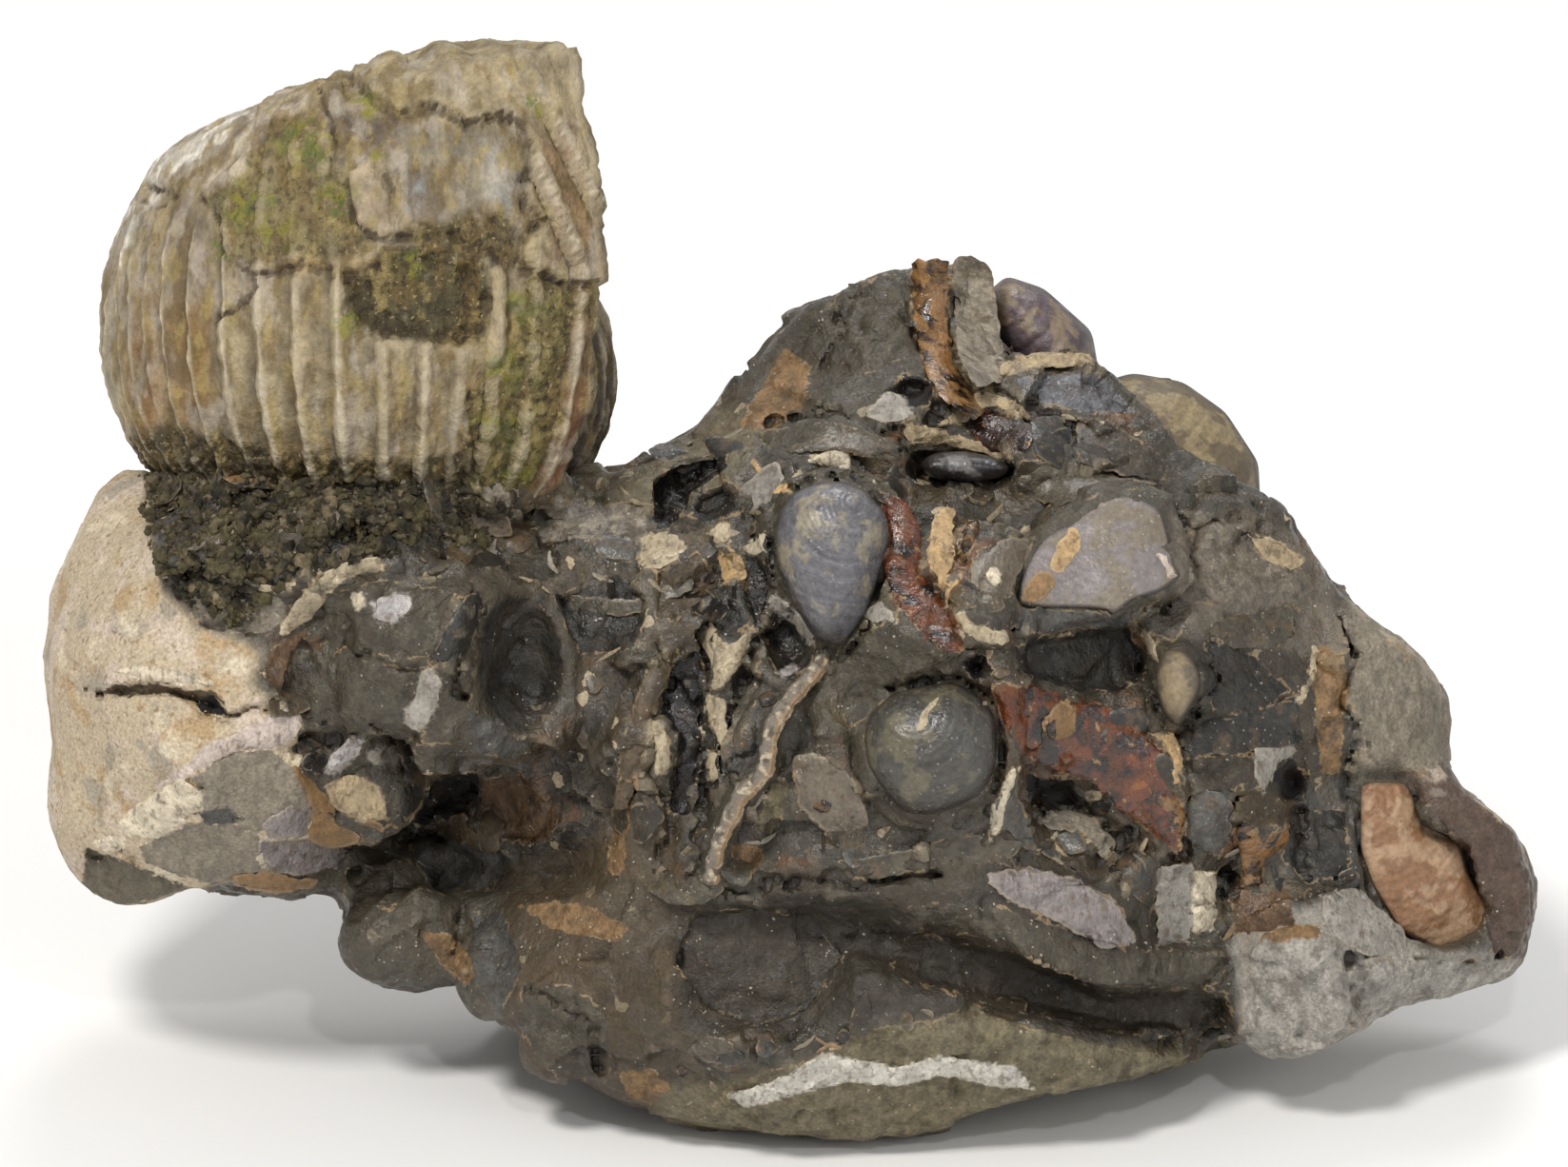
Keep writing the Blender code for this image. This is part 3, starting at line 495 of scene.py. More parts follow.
def press(outline, lift, tilt_u=0.0, tilt_v=0.0):
    """Makes the front of the rock flat, raised or hollow inside one outline."""
    box = window(np.min(outline, axis=0), np.max(outline, axis=0))
    points = columns(box)
    inside = inside_distance(points, outline)
    small = area(outline) < SMALL_FLAKE
    surface = (front_of(rock[box]) if small else first_front[box]).ravel()
    solid = surface > LOW[2]
    core = solid & (inside > 0)
    if core.sum() < 4:
        return
    centre = points[core].mean(axis=0)
    arms = points - centre
    terms = np.column_stack([np.ones(core.sum()), arms[core]])
    middle, slope_u, slope_v = np.linalg.lstsq(terms, surface[core], rcond=None)[0]
    slopes = np.clip([slope_u, slope_v], -STEEPEST, STEEPEST)
    lift = min(lift, SMALL_LIFT) if small else lift
    if lift > BOWL_LIFT:
        height = middle + lift + arms @ (slopes + [tilt_u, tilt_v])
    else:
        height = middle + arms @ slopes + lift * smoothstep(inside, 0, -0.45 * lift)
    flat = 1 / math.sqrt(1 + slopes @ slopes)
    shape = rock[box].shape[:2]
    inside = inside.reshape(shape)[:, :, None]
    above = (AXES[2][None, None, :] - height.reshape(shape)[:, :, None]) * flat
    local = np.maximum(rock[box], np.minimum(inside, above))
    if lift > BOWL_LIFT:
        bare = np.where(solid, 0, FAR).reshape(shape)[:, :, None]
        slab = np.maximum(np.maximum(-inside, above), -SLAB - above)
        local = np.minimum(local, np.maximum(slab, bare))
    rock[box] = local


first_front = front_of(rock)
for finish, outline, lift, tilt_u, tilt_v in FLAKES:
    press(outline, lift, tilt_u, tilt_v)
print("front of the stone reaches w =", round(float(front_of(rock).max()), 1))

# %% [markdown]
# ## Cracks, rims and rounded lumps
# Where flakes part there are thin dark gaps, and the old mud between them dried into
# narrow ribs and round lumps. A crack is a wedge cut along a route. A rib is a round bar
# added along one. Both follow the front of the stone, so only u and v are needed. A
# crack's row starts with its half width and depth, and a rib's with its radius and lift.

# %% The cracks, ribs, lumps and bowls
CRACKS = [(route, *numbers) for _, numbers, route in table("""
0.34 1.3 | -572,-83 -560,-79 -530,-87 -500,-79 -470,-84 -455,-98 -435,-104 -420,-100
 -390,-90;
0.5 1.2 | -576,-10 -566,-32 -564,-50 -554,-70;
0.3 0.7 | -465,-154 -456,-166 -454,-178 -466,-182;
0.5 1.2 | -540,-209 -510,-216 -485,-228 -465,-242;
0.6 1.6 | -386,-132 -366,-120 -340,-114 -310,-116 -290,-126;
0.5 1.2 | -338,-36 -332,-54 -310,-62 -285,-64;
0.5 1.4 | -240,-10 -242,-45 -256,-65 -248,-85;
0.7 1.8 | -380,-204 -330,-206 -290,-199 -245,-194;
0.4 1 | -202,-312 -170,-333 -150,-348 -145,-380;
0.5 1.3 | -252,-250 -254,-280 -246,-330;
0.5 1.6 | -100,-46 -92,-80 -103,-105 -106,-130 -90,-185 -94,-230;
0.55 2 | -62,-40 -63,-90 -65,-130 -62,-170 -70,-230;
0.35 1.2 | -30,22 -54,0 -54,-32;
0.4 1.5 | -30,70 -10,66 -9,50 -11,25 -8,6 6,-16 21,-44 32,-54 48,-54 69,-27;
0.4 1.5 | 0,77 25,84 46,86 70,76 86,54 88,34 80,8 73,-12;
0.4 1.3 | 60,-148 77,-169 94,-185 120,-186 158,-170 170,-142 170,-100 153,-81 130,-71 84,-80;
0.5 1.4 | -64,-240 -20,-234 40,-232 80,-232 120,-226;
0.4 1.2 | -22,-46 -32,-80 -44,-110 -46,-133 -32,-158;
0.45 1.6 | 132,-4 123,-24 135,-46 156,-52 180,-44 184,-22;
0.4 1.2 | 264,-22 294,-12 314,6 324,40;
0.4 1.4 | 284,-54 286,-84 296,-109 310,-120 322,-99 331,-80 326,-60;
0.55 1.8 | 190,-82 198,-136 190,-178 204,-186 238,-176 266,-204 266,-230;
0.45 1.5 | 304,-114 314,-136 313,-170 314,-212 290,-220;
0.45 1.5 | 352,-166 352,-216 344,-224 346,-278;
0.5 1.5 | 404,-182 406,-230 420,-244 452,-232;
0.4 1.4 | 434,-26 450,-60 438,-90 452,-124 444,-154 465,-220 488,-284;
0.4 1.3 | 448,-294 500,-292 560,-296;
0.4 1.2 | 446,-290 449,-330 440,-370;
0.4 1.3 | -16,122 5,128 45,132 75,122 93,115;
0.4 1.3 | 96,250 98,200 110,168 120,146 116,122;
0.4 1.2 | 132,250 132,190 148,152 196,138;
0.4 1 | 162,174 200,186 250,184 260,150;
0.45 1.3 | 190,129 230,124 256,112 264,86;
0.4 1.2 | 306,58 320,46 366,48 410,30;
0.3 0.7 | 34,170 44,200 58,240""")]
RIBS = [(route, *numbers) for _, numbers, route in table("""
0.8 0.2 | -500,40 -496,10 -484,-15 -450,-39 -420,-40 -390,-26 -370,4 -345,16 -310,19;
0.45 0.5 | -340,-35 -333,-52 -310,-60 -285,-61 -266,-46 -256,-20 -249,-8 -234,-7;
0.35 -0.4 | -100,74 -80,66 -50,56 -30,52;
0.35 0.2 | -200,-318 -170,-338 -154,-352 -149,-380;
0.4 0.1 | 120,-14 134,-34 156,-44 176,-39;
0.5 0.5 | 50,-220 100,-212 140,-199 186,-204;
0.6 0.3 | 100,-266 140,-271 180,-281 220,-302 255,-313 310,-319 343,-312;
0.4 0.4 | 192,-189 216,-181 240,-186 260,-208;
0.35 0.6 | 284,-120 304,-119 310,-136 309,-160;
0.4 0.1 | 26,160 42,194 54,234""")]
LUMPS = [
    (-32, -1.6, 2.6, 1.4, 0.6), (-29, -4, 3.2, 2.2, 0.7), (-27.8, 1.6, 1.7, 1.5, 0.9),
    (-30.6, 1.4, 1.4, 1.2, 0.8),
    (-25.2, 2.2, 1.5, 1.3, 0.8), (-33, -15.5, 4.8, 4.4, 1.4), (-26.5, -22, 3.4, 2.4, 0.8),
    (-31, -23.8, 3.2, 2.4, 0.6),
    (-30.5, -28, 4.6, 4, 0.8), (-23, -30.5, 2.4, 3.6, 0.7), (-17.5, -36, 3.4, 3.4, 0.7),
    (15.2, -1.9, 2.3, 1.8, 1.3),
    (3.1, -11.6, 0.9, 1.7, 0.8), (22.8, -21, 2.8, 2.7, 1.1), (7.7, 20, 1.8, 1.7, 0.9),
    (5.2, 19, 1.4, 1.3, 0.7),
    (11, -32.7, 3.2, 1.4, 0.9), (3.6, -6.4, 0.7, 0.8, 0.7), (-46, 2.6, 2, 1.4, 0.6),
    (37.5, -33, 2.4, 3.4, 0.5),
]
BOWLS = [
    (-20.6, -6.6, 3.2, 5.4, 2.6), (-24.6, -9.4, 2.2, 2.6, 0.8), (6.4, -8.4, 3.4, 3, 0.9),
    (-29, -9.2, 4.2, 2.8, 0.5), (0.6, -4.8, 1.9, 2.8, 1.2), (33.6, -11.6, 3, 2, 1.2),
    (-14, -8, 2.4, 4.4, 1.3),
    (-16.6, -22, 3.4, 2.6, 1.4), (24, -25.4, 4.4, 1.8, 1.2), (5, -26.4, 4.6, 1.6, 1.1),
    (38.6, -12.4, 2.6, 3.6, 1.0),
]
print("cracks:", len(CRACKS), "ribs:", len(RIBS), "lumps:", len(LUMPS), "bowls:", len(BOWLS))

# %% Cut bowls and cracks
BOWL_SIDES, BOWL_TOP = 9.0, 9.0


def soften(front, times=7):
    """A front map with its steps smoothed by a few box averages."""
    for _ in range(times):
        wide = np.pad(front, 1, mode="edge")
        front = (wide[:-2, 1:-1] + wide[2:, 1:-1] + wide[1:-1, :-2] + wide[1:-1, 2:] + 2 * front) / 6
    return front


def rough_pair(points, size, octaves, first, second):
    """Two soft random heights for each point, which move it aside in the face."""
    return np.column_stack([rough(points, size, octaves, first), rough(points, size, octaves, second)])


def cut_bowl(u, v, radius_u, radius_v, depth):
    """A smooth hollow, as an outer shell leaves when it breaks away."""
    box = window((u - radius_u, v - radius_v), (u + radius_u, v + radius_v))
    points = columns(box)
    front = soften(front_of(rock[box]), 20)
    flat = ((points[:, 0] - u) / radius_u) ** 2 + ((points[:, 1] - v) / radius_v) ** 2
    floor_now = front - depth * np.clip(1 - flat, 0, 1).reshape(front.shape)
    floor_now = floor_now + BOWL_SIDES * np.clip(flat - 1, 0, BOWL_TOP).reshape(front.shape)
    rock[box] = np.maximum(rock[box], AXES[2] - floor_now[:, :, None])


def cut_crack(route, half_width, depth):
    box = window(np.min(route, axis=0), np.max(route, axis=0))
    points = columns(box)
    flat = on_face(points)
    ragged = points + 0.9 * rough_pair(flat, 2.4, 4, 5.0, 25.0)
    shape = rock[box].shape[:2]
    away = line_distance(ragged, route).reshape(shape)[:, :, None]
    depth = depth * np.clip(0.7 + 0.9 * rough(flat, 5.0, 2, 40.0), 0.25, 1.3).reshape(shape)[:, :, None]
    buried = (front_of(rock[box])[:, :, None] - AXES[2]) / depth
    wedge = half_width * (1 - np.clip(buried, 0, 1)) - away
    wedge = np.minimum(wedge, (1 - buried) * depth)
    rock[box] = np.maximum(rock[box], wedge)


print("bowls and cracks can be cut")

# %% Add ribs and lumps
LUMP_FIRMNESS = 0.8


def add_rib(route, radius, lift):
    box = window(np.min(route, axis=0), np.max(route, axis=0))
    away = line_distance(columns(box), route).reshape(rock[box].shape[:2])
    crest = soften(front_of(rock[box])) + lift - radius
    bar = np.hypot(away[:, :, None], AXES[2] - crest[:, :, None]) - radius
    rock[box] = np.minimum(rock[box], bar)


def add_lump(u, v, radius_u, radius_v, lift):
    """A low pebble whose top stands above the stone by the lift."""
    box = window((u - radius_u, v - radius_v), (u + radius_u, v + radius_v))
    points = columns(box)
    front = front_of(rock[box])
    spot = np.argmin(np.hypot(points[:, 0] - u, points[:, 1] - v))
    top = soften(front).ravel()[spot] + lift
    deep = (radius_u + radius_v) / 2
    flat = np.hypot((points[:, 0] - u) / radius_u, (points[:, 1] - v) / radius_v).reshape(front.shape)
    ball = np.hypot(flat[:, :, None], (AXES[2] - top + deep) / deep) - 1
    rock[box] = np.minimum(rock[box], ball * deep * LUMP_FIRMNESS)


print("ribs and lumps can be added")

# %% Sediment under the small shells
SOCKETS = [(outline, *numbers) for _, numbers, outline in table("""
19.2 0 0 | -20,50 2,82 25,90 47,92 73,82 92,58 95,35 86,6 70,-36 49,-62 24,-60 -6,-10 -20,20;
21.2 0 0 | 80,-73 105,-68 133,-64 160,-76 178,-100 179,-142 164,-175 122,-193 90,-192
 70,-173 54,-150 50,-120 58,-94;
14.6 0 0 | 284,-42 314,-38 334,-58 339,-82 328,-104 308,-126 287,-110 277,-80;
15.4 -0.12 -0.42 | 170,-26 174,16 192,44 220,60 236,78 272,82 306,68 313,36 318,18 323,2
 298,-18 260,-36 184,-30;
0.3 -0.55 0.15 | 444,-146 498,-146 514,-186 544,-194 552,-228 570,-256 586,-296 520,-303
 478,-282 452,-244 443,-210;
19.4 0.05 0.1 | -54,-250 -68,-240 -64,-210 -46,-160 -24,-136 -20,-106 24,-50 46,-54 30,-80
 6,-114 -2,-154 -28,-180 -44,-236""")]


def fill_socket(outline, level, tilt_u, tilt_v, thickness=7.0):
    """Packs sediment up to a sloping level under a small shell."""
    box = window(np.min(outline, axis=0), np.max(outline, axis=0))
    points = columns(box)
    shape = rock[box].shape[:2]
    inside = inside_distance(points, outline).reshape(shape)[:, :, None]
    height = level + (points - np.mean(outline, axis=0)) @ [tilt_u, tilt_v]
    above = AXES[2] - height.reshape(shape)[:, :, None] + 2.6 * (1 - smoothstep(inside, -0.6, 1.5))
    slab = np.maximum(np.maximum(-inside, above), -thickness - above)
    rock[box] = np.minimum(rock[box], slab)


print("sockets for small shells:", len(SOCKETS))

# %% Crust round the ammonite's foot
CRUST_LEVEL, CRUST_RADIUS = 7.3, 2.1
COIL_U, COIL_V, COIL_W = -31.0, 24.0, -6.0


def pack_crust(first_deg=46.0, last_deg=165.0):
    """Rough crust that climbs from the shelf to the underside of the ammonite."""
    box = window((-54, 3), (-8, 12))
    points = np.stack(np.meshgrid(AXES[0][box[0]], AXES[1][box[1]], AXES[2], indexing="ij"), axis=-1)
    right, ahead = points[..., 0] - COIL_U, points[..., 2] - COIL_W
    turned = np.degrees(np.arctan2(ahead, right))
    ring = np.interp(turned, [first_deg, last_deg], [19.3, 16.8])
    lumps = 0.9 * rough(points.reshape(-1, 3), 2.4, 4, 12.0).reshape(turned.shape)
    tube = np.hypot(np.hypot(right, ahead) - ring, points[..., 1] - CRUST_LEVEL) - CRUST_RADIUS - lumps
    ends = 0.3 * np.maximum(first_deg - turned, turned - last_deg)
    rock[box] = np.minimum(rock[box], np.maximum(tube, ends))


print("the crust lies", CRUST_LEVEL, "mm above the middle")

# %% Shape the block
for socket in SOCKETS:
    fill_socket(*socket)
pack_crust()
for bowl in BOWLS:
    cut_bowl(*bowl)
for lump in LUMPS:
    add_lump(*lump)
for rib in RIBS:
    add_rib(*rib)
for crack in CRACKS:
    cut_crack(*crack)
print("share of the grid that is rock:", round(float((rock < 0).mean()), 3))

# %% [markdown]
# ## From the block to a mesh
# Surface nets turn the block into a skin. Every cell that the surface passes through
# gets one point, at the mean of the crossings on its edges, and four cells around each
# crossing share a face. It keeps small steps better than a remesh modifier does.

# %% Surface nets
CORNERS = np.array([[i, j, k] for i in (0, 1) for j in (0, 1) for k in (0, 1)])


def surface_net(block):
    """Points in face millimetres and four-sided faces of the zero surface."""
    inside = block < 0
    count = sum(inside[i:inside.shape[0] - 1 + i, j:inside.shape[1] - 1 + j,
                       k:inside.shape[2] - 1 + k].astype(np.int8)
                for i, j, k in CORNERS)
    cells = np.argwhere((count > 0) & (count < 8))
    number = np.full(count.shape, -1, np.int64)
    number[tuple(cells.T)] = np.arange(len(cells))
    values = np.stack([block[tuple((cells + c).T)] for c in CORNERS], axis=1)
    total = np.zeros((len(cells), 3))
    hits = np.zeros(len(cells))
    for a, first in enumerate(CORNERS):
        for b, second in enumerate(CORNERS):
            if b <= a or np.abs(first - second).sum() != 1:
                continue
            cross = (values[:, a] < 0) != (values[:, b] < 0)
            gap = np.where(cross, values[:, a] - values[:, b], 1)
            share = np.where(cross, values[:, a] / gap, 0)
            total += cross[:, None] * (first + share[:, None] * (second - first))
            hits += cross
    points = LOW + CELL * (cells + total / hits[:, None])
    quads = []
    for axis in range(3):
        side, up = (axis + 1) % 3, (axis + 2) % 3
        ahead = np.roll(inside, -1, axis=axis)
        edges = np.argwhere(inside != ahead)
        edges = edges[(edges[:, axis] < block.shape[axis] - 1) & (edges[:, side] > 0) & (edges[:, up] > 0)]
        edges = edges[(edges[:, side] < block.shape[side] - 1) & (edges[:, up] < block.shape[up] - 1)]
        ring = []
        for back_side, back_up in ((1, 1), (0, 1), (0, 0), (1, 0)):
            cell = edges.copy()
            cell[:, side] -= back_side
            cell[:, up] -= back_up
            ring.append(number[tuple(cell.T)])
        ring = np.stack(ring, axis=1)
        leaving = inside[tuple(edges.T)]
        quads.append(np.where(leaving[:, None], ring, ring[:, ::-1]))
    return points, np.concatenate(quads)


def mesh_from(name, points, faces):
    """A Blender mesh from face millimetres, with all faces of one size."""
    mesh = bpy.data.meshes.new(name)
    size = faces.shape[1]
    mesh.vertices.add(len(points))
    mesh.vertices.foreach_set("co", to_world(points).ravel())
    mesh.loops.add(faces.size)
    mesh.loops.foreach_set("vertex_index", faces.ravel().astype(np.int32))
    mesh.polygons.add(len(faces))
    mesh.polygons.foreach_set("loop_start", (np.arange(len(faces)) * size).astype(np.int32))
    mesh.update(calc_edges=True)
    mesh.validate()
    return mesh


def points_of(mesh):
    flat = np.zeros(len(mesh.vertices) * 3)
    mesh.vertices.foreach_get("co", flat)
    return to_face(flat.reshape(-1, 3))


def normals_of(mesh):
    flat = np.zeros(len(mesh.vertices) * 3)
    mesh.vertex_normals.foreach_get("vector", flat)
    return direction_to_face(flat.reshape(-1, 3))


def tree_of(mesh):
    """A search tree that finds where a ray meets the mesh, in face millimetres."""
    return BVHTree.FromPolygons([Vector(p) for p in points_of(mesh)],
                                [tuple(p.vertices) for p in mesh.polygons])


def shade_smooth(mesh, sharp_deg=None):
    """Smooth shading, with a hard edge wherever two faces turn by more than the angle."""
    mesh.polygons.foreach_set("use_smooth", [True] * len(mesh.polygons))
    if sharp_deg is not None:
        mesh.set_sharp_from_angle(angle=math.radians(sharp_deg))


def move_points(mesh, points):
    mesh.vertices.foreach_set("co", to_world(points).ravel())
    mesh.update()


net_points, net_quads = surface_net(rock)
stone_mesh = mesh_from("stone", net_points, net_quads)
print("stone skin:", len(net_points), "points,", len(net_quads), "faces")

# %% [markdown]
# ## Small breaks in the dark rock
# Between the flakes the rock is broken into bits of one to four millimetres, each with
# its own slope. Every point moves along its normal to the little plane of the nearest
# seed. Smooth skins, such as the tan lobe, get much less of it than the dark rock.

# %% Zones of the ground
ZONES = [(finish, numbers[0], outline) for finish, numbers, outline in table("""
tan skin 0.1 | -610,120 -505,100 -496,50 -486,-5 -455,-34 -420,-44 -406,-55 -414,-80
 -390,-92 -380,-120 -370,-150 -360,-185 -334,-195 -350,-210 -360,-230 -430,-230 -470,-244
 -500,-260 -610,-280;
dark umber 0.7 | -500,110 -210,100 -190,40 -240,30 -310,26 -360,16 -390,-10 -420,-30
 -460,-25 -485,0 -496,40;
olive 0.6 | -210,95 -120,140 -10,140 -30,90 -90,56 -120,50 -200,35;
drab 0.45 | -40,140 20,260 170,270 180,150 90,120 0,116;
drab 0.35 | -400,-200 -290,-200 -220,-220 -200,-280 -220,-360 -300,-340 -420,-280;
umber 0.4 | -220,-220 -90,-180 -70,-300 -90,-420 -220,-420;
olive 0.35 | 30,-368 60,-348 100,-345 150,-330 180,-345 240,-360 340,-370 260,-420 -100,-480
 -100,-400;
grain 0.5 | 300,60 420,40 440,-30 440,-80 390,-50 310,-40;
dark umber 0.45 | 310,-40 390,-50 440,-80 460,-200 420,-250 350,-180 310,-140;
umber 0.6 | 130,-50 200,-80 310,-110 320,-220 260,-250 190,-210 160,-180 170,-120;
warm grey 0.25 | 440,20 540,0 560,-160 500,-160 450,-154;
ash 0.3 | 350,-270 490,-230 500,-290 600,-290 600,-340 450,-390 360,-390;
slate 0.5 | 340,-220 450,-230 470,-190 440,-150 390,-180;
drab 0.35 | -380,-30 -350,0 -240,10 -160,-20 -160,-100 -220,-140 -290,-130 -370,-120;
drab 0.3 | 30,-35 60,-30 80,-44 130,-60 130,-70 80,-72 60,-90 50,-120 25,-110 10,-80 20,-55;
dark umber 0.4 | 184,-38 270,-34 280,-70 250,-84 186,-74;
dark umber 0.35 | -90,-240 0,-220 100,-220 200,-220 300,-240 340,-330 260,-360 150,-330
 50,-340 -80,-360;
plum 0.2 | 480,-146 520,-140 620,-200 620,-300 570,-294 540,-220;
soot 0.4 | -239,-64 -234,-30 -220,-12 -198,-8 -178,-26 -172,-64 -180,-98 -200,-116 -222,-112
 -234,-92;
rust 0.7 | -406,-34 -380,-30 -364,-44 -362,-80 -376,-100 -394,-80""")]
GROUND = ("drab", 0.8)
BESIDE_SHELLS = 0.34
BACK = ("sand", 0.5)
BEHIND_FRONT, BEHIND_MIDDLE = 9, -8


def zone_of(points):
    """For each face point: the ground finish as a number and how broken the rock is."""
    kinds = list(FINISHES)
    kind = np.full(len(points), kinds.index(GROUND[0]))
    broken = np.full(len(points), GROUND[1])
    for finish, share, outline in ZONES:
        inside = inside_distance(points[:, :2], outline) > 0
        kind[inside] = kinds.index(finish)
        broken[inside] = share
    for outline, *_ in SOCKETS:
        broken[inside_distance(points[:, :2], outline) > 0] = BESIDE_SHELLS
    reach = front_depth(points[:, :2])
    behind = (points[:, 2] < reach - BEHIND_FRONT) & (points[:, 2] < BEHIND_MIDDLE)
    kind[behind] = kinds.index(BACK[0])
    broken[behind] = BACK[1]
    return kind, broken


def front_depth(points):
    """The first front of the stone under each (u, v) point."""
    place = np.clip(np.rint((points - LOW[:2]) / CELL).astype(int), 0, COUNT[:2] - 1)
    return smooth_front[place[:, 0], place[:, 1]]


smooth_front = soften(first_front, 22)

# %% Break the surface up
rng = np.random.default_rng(7)


def breaks(points, spacing, lift, tilt, edge):
    """An offset along the normal for each point, flat around every seed."""
    count = int(len(points) * CELL ** 2 / spacing ** 2)
    seeds = points[rng.choice(len(points), count, replace=False)]
    lifts = rng.uniform(-lift, lift, count)
    tilts = rng.normal(0, tilt, (count, 3))
    tree = KDTree(count)
    for i, seed in enumerate(seeds):
        tree.insert(seed, i)
    tree.balance()
    offset = np.zeros(len(points))
    for n, p in enumerate(points):
        (_, i, near), (_, j, far) = tree.find_n(p, 2)
        one = lifts[i] + tilts[i] @ (p - seeds[i])
        two = lifts[j] + tilts[j] @ (p - seeds[j])
        share = max(0.0, 0.5 - (far - near) / edge)
        offset[n] = one * (1 - share) + two * share
    return offset


def neighbour_mean(mesh, values, times=1):
    """The mean of each point's neighbours, repeated to blur further."""
    edges = np.zeros(len(mesh.edges) * 2, np.int64)
    mesh.edges.foreach_get("vertices", edges)
    a, b = edges.reshape(-1, 2).T
    number = np.maximum(np.bincount(np.concatenate([a, b]), minlength=len(values)), 1)
    for _ in range(times):
        sums = [np.bincount(np.concatenate([a, b]), np.concatenate([column[b], column[a]]), len(values))
                for column in values.T]
        values = np.stack(sums, axis=1) / number[:, None]
    return values


def blurred(mesh, values, times=3):
    return neighbour_mean(mesh, values[:, None], times)[:, 0]


skin = points_of(stone_mesh)
normals = normals_of(stone_mesh)
_, broken = zone_of(skin)
broken = blurred(stone_mesh, broken)
offset = broken * breaks(skin, 6.0, 0.65, 0.14, 0.3)
offset += broken * breaks(skin, 2.8, 0.16, 0.1, 0.25)
offset += (0.12 + 0.1 * broken) * rough(skin, 5.0, 3)
MOST_OFFSET = 0.8
move_points(stone_mesh, skin + normals * np.clip(offset, -MOST_OFFSET, MOST_OFFSET)[:, None])
print("mean break of the skin in mm:", round(float(np.abs(offset).mean()), 2))

# %% [markdown]
# ## Fewer triangles where they don't show
# The plain back needs fewer triangles than the face. A decimate step with a weight for
# every point takes most of them away from there.

# %% Thin the mesh out
MOST_TRIANGLES = 196000
WEIGHT_LEVELS = 5


def add_piece(name, mesh, slot, node=None):
    """Links a mesh as a visible piece under the root body and hides the solid node it stands for."""
    piece = bpy.data.objects.new(name, mesh)
    bpy.context.scene.collection.objects.link(piece)
    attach(piece, "root")
    if node:
        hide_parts(node)
    return piece


def evaluated_mesh(piece, name):
    graph = bpy.context.evaluated_depsgraph_get()
    return bpy.data.meshes.new_from_object(piece.evaluated_get(graph), depsgraph=graph)


helper = bpy.data.objects.new("thinning", stone_mesh)
bpy.context.scene.collection.objects.link(helper)
group = helper.vertex_groups.new(name="keep")
skin = points_of(stone_mesh)
shown = smoothstep(skin[:, 2] - front_depth(skin[:, :2]), -12, -4)
for i in range(WEIGHT_LEVELS):
    level = i / (WEIGHT_LEVELS - 1)
    members = np.flatnonzero(np.abs(shown - level) <= 0.5 / (WEIGHT_LEVELS - 1))
    group.add(members.tolist(), level, "REPLACE")
thin = helper.modifiers.new("thin", "DECIMATE")
thin.ratio = MOST_TRIANGLES / (2 * len(stone_mesh.polygons))
thin.vertex_group = "keep"
thin.invert_vertex_group = True
thin.vertex_group_factor = 6
stone_mesh = evaluated_mesh(helper, "stone")
bpy.data.objects.remove(helper)
print("stone triangles:", sum(len(p.vertices) - 2 for p in stone_mesh.polygons))

# %% [markdown]
# ## Painting the stone
# The same outlines that cut the flakes now colour them. Each point of the skin stores
# two colours: the ground of its zone and the tint of the nearest flake. It also stores
# how far inside the flake it is, so that the material can put the border exactly where
# that passes zero, with a slightly ragged line.

# %% Paint
KINDS = list(FINISHES)
KIND_COLOURS = np.array([linear(FINISHES[k][0]) for k in KINDS])
KIND_GLOSS = np.array([FINISHES[k][1] for k in KINDS])
REACH = 0.9


def set_colour(mesh, name, colours):
    layer = mesh.attributes.new(name, "FLOAT_COLOR", "POINT")
    layer.data.foreach_set("color", np.column_stack([colours, np.ones(len(colours))]).ravel())


def set_value(mesh, name, values):
    mesh.attributes.new(name, "FLOAT", "POINT").data.foreach_set("value", np.asarray(values, float))


def set_curvature(mesh):
    """Stores how hollow (below zero) or raised each point is against its neighbours."""
    points, normals = points_of(mesh), normals_of(mesh)
    near = ((points - neighbour_mean(mesh, points, 2)) * normals).sum(axis=1)
    wide = ((points - neighbour_mean(mesh, points, 14)) * normals).sum(axis=1)
    set_value(mesh, "near_form", blurred(mesh, near, 1))
    set_value(mesh, "wide_form", blurred(mesh, wide))


def paint_flakes(points, facing):
    """The flake on each point as a number (or -1) and how far inside it the point is."""
    tint = np.full(len(points), -1)
    inside = np.full(len(points), -REACH)
    for finish, outline, *_ in FLAKES:
        low, high = np.min(outline, axis=0) - REACH, np.max(outline, axis=0) + REACH
        near = np.flatnonzero(facing & (points[:, :2] > low).all(axis=1) & (points[:, :2] < high).all(axis=1))
        depth = inside_distance(points[near, :2], outline)
        take = (depth > 0) | (depth > inside[near])
        tint[near[take]] = KINDS.index(finish)
        inside[near[take]] = depth[take]
    return tint, inside


skin = points_of(stone_mesh)
facing = (normals_of(stone_mesh)[:, 2] > -0.2) & (skin[:, 2] > front_depth(skin[:, :2]) - 7)
ground, broken = zone_of(skin)
tint, inside = paint_flakes(skin, facing)
tint = np.where(tint < 0, ground, tint)
set_colour(stone_mesh, "ground", neighbour_mean(stone_mesh, KIND_COLOURS[ground], 4))
set_colour(stone_mesh, "tint", KIND_COLOURS[tint])
set_value(stone_mesh, "inside", inside)
set_value(stone_mesh, "broken", blurred(stone_mesh, broken))
set_value(stone_mesh, "ground_gloss", blurred(stone_mesh, KIND_GLOSS[ground]))
set_value(stone_mesh, "tint_gloss", KIND_GLOSS[tint])
set_curvature(stone_mesh)
print("painted points:", int((inside > 0).sum()), "of", len(skin))

